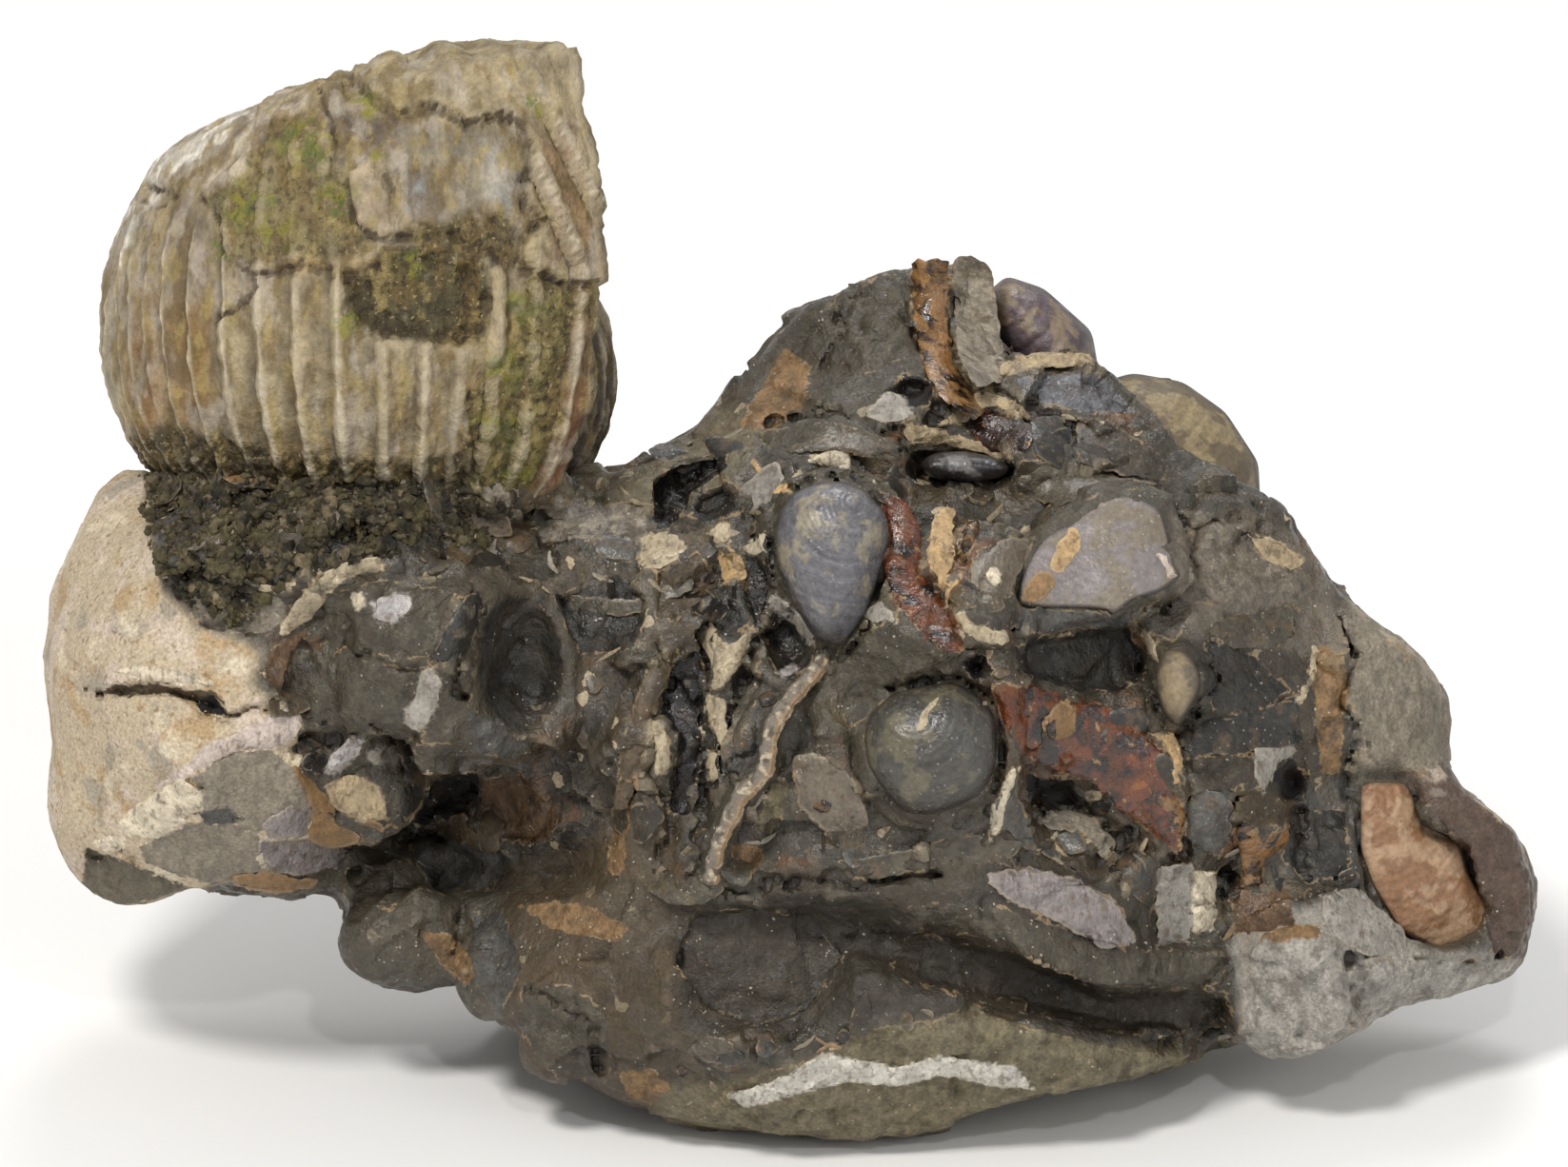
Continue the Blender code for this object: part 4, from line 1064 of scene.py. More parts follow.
# %% [markdown]
# ## A short way to write materials
# A Blender material is a graph of nodes. The class below adds a node, sets its options
# and joins its inputs in one line, so that each recipe reads like a list of steps.

# %% The material writer
class Recipe:
    """One material, written step by step."""

    def __init__(self, name):
        self.material = bpy.data.materials.new(name)
        self.material.use_nodes = True
        self.tree = self.material.node_tree
        self.tree.nodes.clear()
        self.place = self.vector("SCALE", self.add("TexCoord").outputs["Object"], scale=1000.0)

    def add(self, kind, options=(), **inputs):
        made = self.tree.nodes.new("ShaderNode" + kind)
        for key, value in dict(options).items():
            setattr(made, key, value)
        for key, value in inputs.items():
            self.put(made.inputs[int(key[1:]) if key[0] == "_" else key.replace("_", " ")], value)
        return made

    def vector(self, how, first, second=None, scale=None):
        made = self.add("VectorMath", {"operation": how}, _0=first)
        if second is not None:
            self.put(made.inputs[1], second)
        if scale is not None:
            self.put(made.inputs["Scale"], scale)
        return made.outputs[0]

    def put(self, socket, value):
        if isinstance(value, bpy.types.NodeSocket):
            self.tree.links.new(value, socket)
        else:
            socket.default_value = value

    def sum(self, how, first, second=0.0):
        return self.add("Math", {"operation": how}, _0=first, _1=second).outputs[0]

    def times(self, first, second):
        return self.sum("MULTIPLY", first, second)

    def scaled(self, colour, share):
        return self.vector("SCALE", colour, scale=share)

    def aside(self, *move):
        """The place moved aside, so that one noise doesn't repeat another."""
        return self.vector("ADD", self.place, move)

    def ramp(self, value, low, high, start=0.0, end=1.0):
        options = {"interpolation_type": "SMOOTHSTEP"}
        made = self.add("MapRange", options, Value=value, From_Min=low, From_Max=high, To_Min=start,
                        To_Max=end)
        return made.outputs[0]

    def blend(self, share, first, second, how="MIX"):
        made = self.add("Mix", {"data_type": "RGBA", "blend_type": how}, _0=share, _6=first, _7=second)
        return made.outputs[2]

    def stored(self, name, what="Fac"):
        return self.add("Attribute", {"attribute_name": name}).outputs[what]

    def noise(self, size, detail=3.0, place=None, what="Fac", rough=0.55):
        place = place or self.place
        made = self.add("TexNoise", Vector=place, Scale=1 / size, Detail=detail, Roughness=rough)
        return made.outputs[what]

    def bits(self, size, what="Color", place=None, feature="F1"):
        made = self.add("TexVoronoi", {"feature": feature}, Vector=place or self.place, Scale=1 / size)
        return made.outputs[what]

    def warped(self, size, amount, place=None):
        """The place, pushed about by noise, so that cells lose their straight sides."""
        push = self.vector("SUBTRACT", self.noise(size, 3.0, place, "Color"), (0.5, 0.5, 0.5))
        return self.vector("ADD", place or self.place, self.scaled(push, amount))

    def part(self, colour, index=0):
        return self.add("SeparateColor", Color=colour).outputs[index]

    def bump(self, height, millimetres, under=None):
        made = self.add("Bump", Height=height, Strength=1.0, Distance=millimetres / 1000)
        if under is not None:
            self.put(made.inputs["Normal"], under)
        return made.outputs[0]

    def finish(self, colour, rough, normal, **more):
        shader = self.add("BsdfPrincipled", Base_Color=colour, Roughness=rough, Normal=normal, **more)
        out = self.add("OutputMaterial")
        self.tree.links.new(shader.outputs[0], out.inputs["Surface"])
        return self.material


def paint(colour):
    """An eye colour as the four linear numbers of a colour socket."""
    return (*linear(colour), 1.0)


print("recipe writer ready")

# %% [markdown]
# ## The rock
# The dark rock is a mix of many tiny bits: blue-grey and brown shell crumbs, black
# glassy grains, cream flecks and rusty stains. Two sizes of warped cells give the bits
# their own shade. Hollows are darkened with painted shade, tiny glints are painted
# highlights, and raised edges are rubbed lighter.

# %% The stone material
LOBE_CLOUDS = [
    ((196, 180, 164), 0.5, (3, 1, 8)), ((166, 138, 98), 0.54, (14, 5, 2)),
    ((146, 138, 124), 0.56, (6, 22, 9)), ((206, 194, 170), 0.56, (25, 3, 17)),
]


def stone_recipe():
    r = Recipe("rock")
    shifted = r.warped(2.2, 2.4)
    large, small = r.bits(2.6, place=shifted), r.bits(0.85, place=r.warped(0.7, 0.7))
    pick, pick_small = r.part(large), r.part(small)
    broken = r.stored("broken")
    tone = r.blend(r.ramp(pick, 0.0, 0.35), paint((52, 50, 45)), paint((78, 76, 71)))
    tone = r.blend(r.ramp(pick, 0.45, 0.55), tone, paint((82, 67, 50)))
    tone = r.blend(r.ramp(pick, 0.62, 0.75), tone, paint((38, 34, 27)))
    tone = r.blend(r.ramp(pick, 0.93, 0.96), tone, paint((108, 96, 78)))
    ground = r.blend(r.times(broken, 0.55), r.stored("ground", "Color"), tone)
    shade = r.ramp(pick_small, 0.0, 1.0, 0.6, 1.2)
    shade = r.sum("ADD", 1.0, r.times(broken, r.sum("SUBTRACT", shade, 1.0)))
    ground = r.scaled(ground, shade)
    calm = r.ramp(broken, 0.34, 0.14)
    for shade_of, low, aside in LOBE_CLOUDS:
        cloud = r.ramp(r.noise(4.2, 6.0, r.aside(*aside)), low, low + 0.09, 0.0, 0.75)
        ground = r.blend(r.times(cloud, calm), ground, paint(shade_of))
    dots = r.ramp(r.noise(0.55, 4.0, r.aside(1, 6, 2)), 0.58, 0.66, 0.0, 0.6)
    ground = r.blend(r.times(dots, calm), ground, paint((124, 98, 66)))
    fleck = r.times(r.ramp(r.part(small, 1), 0.975, 0.985), r.ramp(broken, 0.2, 0.7))
    ground = r.blend(fleck, ground, paint((168, 152, 124)))
    rust = r.times(r.ramp(r.noise(7.0, 4.0), 0.56, 0.66), r.ramp(broken, 0.3, 0.9, 0.0, 0.6))
    ground = r.blend(rust, ground, paint((112, 72, 40)))
    border = r.sum("ADD", r.stored("inside"), r.times(r.sum("SUBTRACT", r.noise(0.9, 4.0), 0.5), 1.3))
    on_flake = r.ramp(border, -0.06, 0.06)
    line = r.times(r.ramp(r.sum("ABSOLUTE", border), 0.13, 0.04), r.ramp(broken, 0.15, 0.35))
    line = r.times(line, r.ramp(r.noise(1.7, 3.0, r.aside(6, 6, 1)), 0.5, 0.58, 0.0, 0.75))
    streaks = r.noise(1.0, 4.0, r.vector("MULTIPLY", shifted, (1.6, 0.5, 0.7)))
    tint = r.scaled(r.stored("tint", "Color"), r.ramp(streaks, 0.3, 0.7, 0.74, 1.22))
    stain = r.ramp(r.noise(1.5, 6.0, r.aside(9, 4, 4)), 0.5, 0.62, 0.0, 0.5)
    tint = r.blend(r.times(stain, r.ramp(broken, 0.15, 0.35)), tint, paint((58, 46, 33)))
    tint = r.scaled(tint, shade)
    colour = r.blend(line, r.blend(on_flake, ground, tint), paint((146, 124, 92)))
    colour = r.scaled(colour, r.ramp(r.noise(0.28, 2.0), 0.3, 0.7, 0.8, 1.2))
    # Painted glints: tiny pale highlights that stand in for sparkle on the broken rock.
    glint = r.times(r.ramp(r.part(r.bits(0.15), 1), 0.984, 0.992),
                    r.ramp(r.noise(2.4, 4.0), 0.5, 0.62, 0.0, 0.7))
    glint = r.times(glint, r.ramp(broken, 0.14, 0.3))
    colour = r.blend(glint, colour, paint((196, 188, 172)))
    # Painted shade: near and wide hollows of the skin are darkened as if in shadow.
    dirt_and_shade = r.times(r.ramp(r.stored("near_form"), -0.02, -0.16), 0.75)
    dirt_and_shade = r.sum("MAXIMUM", dirt_and_shade, r.times(r.ramp(r.stored("wide_form"), -0.2, -1.3), 0.8))
    colour = r.blend(dirt_and_shade, colour, paint((26, 22, 19)))
    rubbed = r.times(r.ramp(r.stored("near_form"), 0.05, 0.22), 0.26)
    colour = r.blend(rubbed, colour, paint((164, 150, 124)))
    gloss = r.add("Mix", {"data_type": "FLOAT"}, _0=on_flake, _2=r.stored("ground_gloss"),
                  _3=r.stored("tint_gloss"))
    shiny = r.times(gloss.outputs[0], r.ramp(r.part(small, 2), 0.0, 1.0, 0.5, 1.15))
    facets = r.times(r.ramp(r.part(large, 2), 0.4, 0.6), r.times(broken, 0.95))
    roughness = r.ramp(r.sum("MAXIMUM", shiny, facets), 0.0, 1.0, 0.82, 0.14)
    grain = r.sum("ADD", r.noise(0.5, 4.0), r.times(r.part(small, 1), r.times(broken, 0.7)))
    grain = r.sum("ADD", grain, r.times(r.noise(0.22, 3.0), 0.5))
    normal = r.bump(grain, 0.18)
    normal = r.bump(r.noise(1.8, 5.0), 0.22, normal)
    return r.finish(colour, roughness, normal, Specular_IOR_Level=0.5)


stone_mesh.materials.append(stone_recipe())
shade_smooth(stone_mesh, 42)
add_piece("stone_rock", stone_mesh, "dark_stone", "stone")
print("stone added")

# %% [markdown]
# ## The ammonite's coil
# The shell is a tube that winds round an axis and grows as it goes. Each cross section
# runs from the upper hub over the outer rim to the lower hub. Ribs are a change of
# radius along the angle: narrow crests with wide troughs between. They are drawn from
# the crests read off the photo, and near the opening they lean.

# %% The coil's numbers
MOUTH_DEG, TURN_DEG = 53.0, 360.0
RIM_RADIUS, RADIUS_GROWTH = 26.8, 0.085
HALF_BREADTH, BREADTH_GROWTH = 18.6, 0.115
COIL_DROP = 1.4
WIDEST, HUB_HEIGHT = 0.52, 0.62
SHOULDER_RADIUS, SHOULDER_HEIGHT, SHOULDER_FADE = 0.85, 0.97, 0.9
CRESTS_DEG = [49, 56.6, 64, 71, 77, 83, 90.5, 98.5, 106, 113.3, 121, 129.6, 137, 143, 149, 156, 163]
RIB_HEIGHT = 0.95
FIRST_CREST_DEG, CREST_STEP_DEG = 41.5, 7.2
KNOBS_DEG = [(54, 0.1), (64, 0.6), (76, 1.0), (90, 1.0), (104, 1.2)]
FRONT_END_DEG, SEEN_DEG, HALFWAY_DEG = 200, 205, 233.0
BEYOND_DEG = 420.0


def coil_frame(angles):
    turned = np.radians(angles - MOUTH_DEG)
    radius = RIM_RADIUS * np.exp(-RADIUS_GROWTH * turned)
    breadth = HALF_BREADTH * np.exp(-BREADTH_GROWTH * turned)
    return turned, radius, breadth


def section(angles, shares):
    """Distance from the axis and height over the middle plane of each grid point."""
    turned, radius, breadth = coil_frame(angles)
    side = np.where(shares <= 1, 1.0, -1.0)
    share = np.where(shares <= 1, shares, 2 - shares)
    t = np.clip((share - 0.5) / 0.5, 0, 1)
    out = WIDEST + (1 - WIDEST) * np.sin(t * math.pi / 2) ** (2 / 2.2)
    up = np.maximum(0, np.cos(t * math.pi / 2)) ** (2 / 2.2)
    along, left = t / 0.45, (1 - t) / 0.55
    square_out = np.where(t < 0.45, WIDEST + (SHOULDER_RADIUS - WIDEST) * along,
                          1 - (1 - SHOULDER_RADIUS) * left ** 1.6)
    square_up = np.where(t < 0.45, 1 - (1 - SHOULDER_HEIGHT) * along, SHOULDER_HEIGHT * left)
    fade = np.exp(-turned / SHOULDER_FADE) * (side > 0)
    out, up = out + (square_out - out) * fade, up + (square_up - up) * fade
    flank = smoothstep(share, 0, 0.5)
    r = np.where(share < 0.5, radius * WIDEST * share / 0.5, radius * out)
    height = np.where(share < 0.5, breadth * (HUB_HEIGHT + (1 - HUB_HEIGHT) * flank), breadth * up)
    return r, side * height, t


def coil_points(angles, r, height):
    turned = np.radians(angles - MOUTH_DEG)
    a = np.radians(angles)
    return np.stack([COIL_U + r * np.cos(a), COIL_V - COIL_DROP * turned + height,
                     COIL_W + r * np.sin(a)], axis=-1)


def rib_phase(angles, height):
    """How far each point is past the rib on its left, from 0 to 1."""
    lean = 0.85 * np.clip(height - 1, 0, 16) * smoothstep(angles, 118, 80)
    turned = angles - lean
    later = CRESTS_DEG[-1] + CREST_STEP_DEG * np.arange(1, 60)
    crests = np.concatenate([[FIRST_CREST_DEG], CRESTS_DEG, later])
    return (-np.interp(turned, crests, np.arange(len(crests)))) % 1


def rib_form(phase):
    """A rib rises steeply on its left and falls off gently to the right."""
    return np.maximum(np.exp(-3.6 * phase), smoothstep(phase, 0.8, 1.0))


print("ribs across the front:", len(CRESTS_DEG))

# %% [markdown]
# ## Worn layers on the shell
# The outer shell has flaked off in layers. Each layer is an outline in the face with the
# height of its step, so that the edge casts the thin shadow seen in the photo. The hollow
# in the middle is rough and crusty. Zones give the colour and how crusty the shell is;
# the near-white zone along the upper left rim is a painted highlight.

# %% The shell's layers and zones
LAYERS = [(numbers[0], outline) for _, numbers, outline in table("""
0.8 | -360,430 -335,392 -315,376 -304,366 -295,365 -280,370 -266,369 -256,363 -247,355
 -236,360 -228,365 -215,361 -206,353 -200,340 -197,324 -205,310 -203,294 -192,280 -203,266
 -204,250 -190,243 -180,236 -150,234 -130,240 -140,440 -250,460;
0.5 | -456,304 -446,294 -438,280 -436,254 -428,248 -410,240 -390,249 -370,250 -354,243
 -330,246 -316,252 -306,270 -310,330 -344,360 -348,390 -380,400 -410,370 -420,334;
0.6 | -338,316 -323,324 -312,312 -302,296 -295,272 -310,265 -332,276;
0.4 | -370,356 -356,352 -350,336 -353,318 -364,310 -376,320 -384,340;
0.3 | -448,204 -426,212 -412,224 -410,234 -386,239 -340,236 -332,210 -316,192 -280,189
 -240,184 -226,176 -224,120 -260,80 -400,80 -440,120 -446,170;
0.45 | -236,254 -226,234 -229,210 -234,186 -226,170 -220,184 -216,210 -216,236 -224,256;
0.35 | -220,170 -208,210 -198,240 -180,232 -140,230 -140,100 -180,50 -220,30 -246,70
 -250,120 -245,150;
-0.6 | -510,300 -503,316 -490,314 -476,302 -482,292 -505,292;
-0.5 | -306,266 -285,278 -250,274 -236,256 -270,256;
-0.35 | -246,246 -240,190 -255,186 -265,210""")]
HOLLOW = points_in("""
-340,234 -310,254 -275,262 -240,250 -230,220 -233,194 -270,188 -310,190 -336,206""")
# The near-white row (208, 201, 188) along the upper left rim is a painted highlight.
SHELL_ZONES = [(numbers[:3], numbers[3], outline) for _, numbers, outline in table("""
148 134 106 0.2 | -600,0 -600,500 -100,500 -100,0;
152 142 122 0.05 | -560,100 -560,320 -510,300 -495,200 -500,120;
144 124 96 0.1 | -520,120 -510,230 -445,235 -435,120;
130 104 66 0 | -478,145 -474,215 -452,215 -447,124 -466,115;
136 104 66 0 | -516,140 -510,190 -494,185 -494,124 -508,120;
136 124 106 0.1 | -452,220 -446,270 -470,306 -490,290 -486,220;
208 201 188 0 | -550,240 -530,305 -480,365 -400,400 -398,378 -425,350 -465,320 -482,320
 -506,290 -522,250;
176 164 144 0.1 | -455,310 -430,350 -390,386 -370,380 -385,340 -410,300 -435,290;
130 118 82 0.6 | -450,304 -420,320 -396,360 -366,366 -350,330 -315,260 -340,248 -410,244
 -433,255;
112 100 84 0.1 | -364,376 -348,390 -320,366 -290,362 -280,340 -296,308 -310,330 -344,320
 -355,344;
132 122 102 0.15 | -300,360 -205,350 -202,270 -240,260 -295,290;
142 142 142 0 | -296,310 -282,324 -272,300 -262,280 -278,282 -294,290;
146 142 132 0 | -236,345 -220,340 -208,310 -216,284 -230,300;
158 142 116 0.1 | -338,316 -323,324 -312,312 -302,296 -295,272 -310,265 -332,276;
152 138 108 0.2 | -380,430 -350,394 -304,369 -266,372 -247,359 -228,368 -204,355 -195,324
 -203,280 -204,244 -130,230 -140,440 -250,460;
136 112 86 0.25 | -194,340 -170,360 -140,260 -150,236 -186,242 -188,290;
84 76 50 1 | -344,236 -310,260 -275,266 -236,254 -228,220 -230,190 -270,184 -310,188
 -340,200;
98 86 58 0.8 | -310,270 -270,284 -220,290 -204,250 -234,244 -280,264;
126 114 70 0.8 | -220,170 -208,210 -198,240 -150,226 -140,100 -190,30 -250,50 -250,150;
118 84 60 0.3 | -164,206 -154,210 -150,120 -176,80 -204,54 -194,90 -172,130 -170,170;
186 166 124 0 | -234,250 -224,234 -229,210 -233,184 -224,184 -220,210 -219,240;
164 142 102 0.3 | -410,246 -380,254 -346,252 -310,254 -310,246 -340,241 -370,244 -410,240;
160 146 118 0.2 | -330,196 -300,190 -260,186 -240,182 -246,174 -290,178 -324,184;
88 78 56 0.85 | -520,116 -480,124 -440,114 -400,106 -340,100 -280,98 -250,106 -240,40
 -520,40""")]
SHELL_CRACKS = [(numbers[0], route) for _, numbers, route in table("""
0.34 | -296,367 -280,371 -266,370 -256,364 -247,356 -236,361 -228,366 -215,362 -206,354
 -200,340 -197,324;
0.28 | -197,324 -205,310 -203,294 -192,280 -184,286 -178,292;
0.34 | -192,280 -203,268 -202,256;
0.3 | -456,304 -446,296 -438,280 -436,254 -426,249 -412,240 -410,230 -416,222 -430,213
 -444,204;
0.3 | -338,316 -336,296 -332,278 -310,265 -296,272;
0.4 | -410,240 -380,249 -356,245 -330,242 -316,250;
0.25 | -362,386 -354,360 -348,340 -352,320;
0.4 | -190,242 -176,234 -160,234 -150,236;
0.3 | -260,276 -244,266 -228,262 -224,248;
0.25 | -248,150 -244,120 -242,90 -230,66;
0.22 | -503,316 -492,310 -476,302""")]
MOSS_SPOTS = [(-36.6, 33.6, 2.4), (-34.8, 29.6, 2.0), (-38.4, 34.4, 1.6), (-41.5, 29.5, 2.4),
              (-32.5, 37.4, 1.5),
              (-28.8, 24.8, 1.6), (-20.6, 21.6, 1.8), (-22, 17, 2.0), (-22.6, 12.4, 2.2), (-20.8, 9.4, 1.6),
              (-31.6, 33.6, 1.0), (-39.5, 27.5, 2.2), (-19.4, 37, 1.2), (-44, 26, 1.2), (-34, 20.5, 1.4)]


def crack_nearness(face_points):
    """1 on the line of a crack and 0 at its side, for every point."""
    flat = on_face(face_points)
    moved = face_points[:, :2] + 0.25 * rough_pair(flat, 0.9, 3, 31.0, 47.0)
    near = np.zeros(len(face_points))
    for width, route in SHELL_CRACKS:
        near = np.maximum(near, 1 - line_distance(moved, route) / (0.8 * width))
    return near


def layer_relief(face_points):
    """Height of the worn layers, with steps about half a millimetre wide."""
    relief = np.zeros(len(face_points))
    wobble = 0.35 * rough(on_face(face_points), 1.6, 4, 9.0)
    for height, outline in LAYERS:
        inside = inside_distance(face_points[:, :2], outline) + wobble
        relief += height * smoothstep(inside, -0.16, 0.16)
    return relief


# %% [markdown]
# ## Weaving the shell
# The front quarter of the coil, which the camera sees closely, gets a fine grid of about
# 0.3 mm, and the back a coarser one. The grid closes at the hubs and across the opening.

# %% Weave the shell
FRONT_ROWS, BACK_ROWS, MOUTH_ROWS = 250, 130, 26
front_angles = np.linspace(MOUTH_DEG, FRONT_END_DEG, FRONT_ROWS)
back_angles = np.linspace(FRONT_END_DEG, MOUTH_DEG + TURN_DEG, BACK_ROWS)[1:]
angles = np.concatenate([front_angles, back_angles])
shares = np.concatenate([np.linspace(0.04, 0.46, 26), np.linspace(0.48, 1.55, 170),
                         np.linspace(1.58, 1.96, 22)])
A, S = np.meshgrid(angles, shares, indexing="ij")
r, height, t = section(A, S)
phase = rib_phase(A, height)
crest = rib_form(phase)
strength = smoothstep(np.where(S <= 1, S, 2 - S), 0.32, 0.6)
strength *= 1 - 0.85 * smoothstep(A, 102, 122) * smoothstep(height, 2, 9)
strength *= 1 - 0.7 * smoothstep(A, 62, 72) * smoothstep(A, 118, 104) * smoothstep(height, -1, 3)
strength *= 1 - 0.6 * smoothstep(height, 11, 14)
flat = coil_points(A, r, height)[..., :2].reshape(-1, 2)
in_pit = inside_distance(flat, HOLLOW) + 0.7 * rough(on_face(flat), 2.2, 4, 6.0)
in_pit = smoothstep(in_pit, -0.5, 0.7).reshape(A.shape) * (A < SEEN_DEG)
strength *= 1 - in_pit
strength *= 0.8 + 0.35 * rough(np.column_stack([flat, A.ravel() * 0.3]), 3.0, 3, 15.0).reshape(A.shape)
rib = RIB_HEIGHT * crest * strength
bump = sum(size * np.exp(-((A - knob) / 3.6) ** 2) for knob, size in KNOBS_DEG)
bump *= np.exp(-((S - 0.63) / 0.1) ** 2)
bump -= 0.9 * smoothstep(A, 72, 55) * np.exp(-((S - 0.55) / 0.3) ** 2)
r = r + rib * np.sin(t * math.pi / 2)
height = height + np.where(S <= 1, 1, -1) * (rib * np.cos(t * math.pi / 2) + bump)
rings = coil_points(A, r, height)
ragged = rough(np.column_stack([rings[0, :, 1], rings[0, :, 2], rings[0, :, 0]]), 4.0, 3, 2.0)
for i in range(5):
    rings[i, :, 0] += 0.5 * (ragged + 0.2) * (1 - i / 5)

cols = A.shape[1]
mouth = [rings[-1] + (rings[0] - rings[-1]) * s for s in np.linspace(0, 1, MOUTH_ROWS)[1:-1]]
mouth = np.array(mouth)
swell_along = np.sin(np.linspace(0, math.pi, MOUTH_ROWS)[1:-1])
swell = swell_along[:, None] * np.sin(np.linspace(0, math.pi, cols))[None, :]
ahead = np.array([math.sin(math.radians(MOUTH_DEG)), 0, -math.cos(math.radians(MOUTH_DEG))])
mouth_noise = rough(mouth.reshape(-1, 3), 3.0, 4, 3.0).reshape(mouth.shape[:2])
mouth = mouth + ahead * (swell * (1.6 + 0.9 * mouth_noise))[:, :, None]
grid = np.concatenate([rings, mouth])
count = len(grid)
hub_angle = np.array([HALFWAY_DEG])
halfway = coil_points(hub_angle, np.array([0.0]), HUB_HEIGHT * coil_frame(hub_angle)[2])[0]
lower_hub = halfway - [0, 2 * (halfway[1] - (COIL_V - COIL_DROP * math.radians(180))), 0]
coil_all = np.concatenate([grid.reshape(-1, 3), [halfway, lower_hub]])
i, j = np.meshgrid(np.arange(count), np.arange(cols - 1), indexing="ij")
following = (i + 1) % count
quads = np.stack([i * cols + j, i * cols + j + 1, following * cols + j + 1, following * cols + j],
                 axis=-1).reshape(-1, 4)
i = np.arange(count)
caps = [(count * cols, k * cols, ((k + 1) % count) * cols) for k in i]
caps += [(count * cols + 1, ((k + 1) % count) * cols + cols - 1, k * cols + cols - 1) for k in i]


def mesh_of_faces(name, points, faces):
    mesh = bpy.data.meshes.new(name)
    mesh.from_pydata(to_world(points).tolist(), [], [tuple(map(int, f)) for f in faces])
    mesh.update()
    return mesh


shell_mesh = mesh_of_faces("ammonite", coil_all, list(quads) + caps)
bm = bmesh.new()
bm.from_mesh(shell_mesh)
bmesh.ops.recalc_face_normals(bm, faces=bm.faces)
bm.to_mesh(shell_mesh)
bm.free()
print("ammonite:", len(shell_mesh.polygons), "faces")

# %% Wear and paint the shell
coil_now, coil_normal = points_of(shell_mesh), normals_of(shell_mesh)
angle_of = np.concatenate([np.repeat(angles, cols), np.full(len(mouth) * cols, BEYOND_DEG),
                           [HALFWAY_DEG, HALFWAY_DEG]])
seen = (coil_normal[:, 2] > -0.05) & (angle_of < SEEN_DEG)
crust = np.zeros(len(coil_now))
shade = np.tile(linear((148, 134, 106)), (len(coil_now), 1))
ragged = 0.5 * rough(on_face(coil_now), 1.6, 3, 4.0)
for colour, much, outline in SHELL_ZONES:
    weight = (smoothstep(inside_distance(coil_now[:, :2], outline) + ragged, -0.5, 0.5) * seen)[:, None]
    shade = shade * (1 - weight) + linear(colour) * weight
    crust = crust * (1 - weight[:, 0]) + much * weight[:, 0]
relief = layer_relief(coil_now) * seen
pit_now = np.concatenate([in_pit.ravel(), np.zeros(len(mouth) * cols + 2)]) * seen
relief -= 0.9 * pit_now
relief += (0.05 + 0.34 * crust) * rough(coil_now, 1.0, 4) + 0.14 * rough(coil_now, 4.0, 3, 8.0)
crack = crack_nearness(coil_now) * seen
relief -= 0.4 * smoothstep(crack, 0, 0.8)
moss = np.zeros(len(coil_now))
for u, v, reach in MOSS_SPOTS:
    moss = np.maximum(moss, smoothstep(np.hypot(coil_now[:, 0] - u,
                                                coil_now[:, 1] - v) / reach + ragged, 1.1, 0.3) * seen)
inner = smoothstep(angle_of, 300, 330)[:, None]
shade = shade * (1 - inner) + linear((92, 84, 74)) * inner
beyond = np.zeros(len(mouth) * cols + 2)
# Pale rib crests: worn shell, and also a painted highlight on the crest and left face of each rib.
worn_lit_crest = np.maximum(np.exp(-13 * phase), smoothstep(phase, 0.93, 1.0)) * strength
# Painted shade: the trough to the right of each rib is darkened as if in the rib's shadow.
painted_trough_shade = smoothstep(phase, 0.3, 0.8) * smoothstep(phase, 0.99, 0.9) * strength
worn_lit_crests = np.concatenate([worn_lit_crest.ravel(), beyond])
painted_trough_shades = np.concatenate([painted_trough_shade.ravel(), beyond])
shade *= 1 - 0.42 * painted_trough_shades[:, None]
move_points(shell_mesh, coil_now + coil_normal * relief[:, None])
set_colour(shell_mesh, "ground", shade)
set_value(shell_mesh, "crust", crust)
set_value(shell_mesh, "moss", moss)
set_value(shell_mesh, "crest", worn_lit_crests)
set_value(shell_mesh, "crack", crack)
set_curvature(shell_mesh)
print("ammonite points with crust:", int((crust > 0.5).sum()))
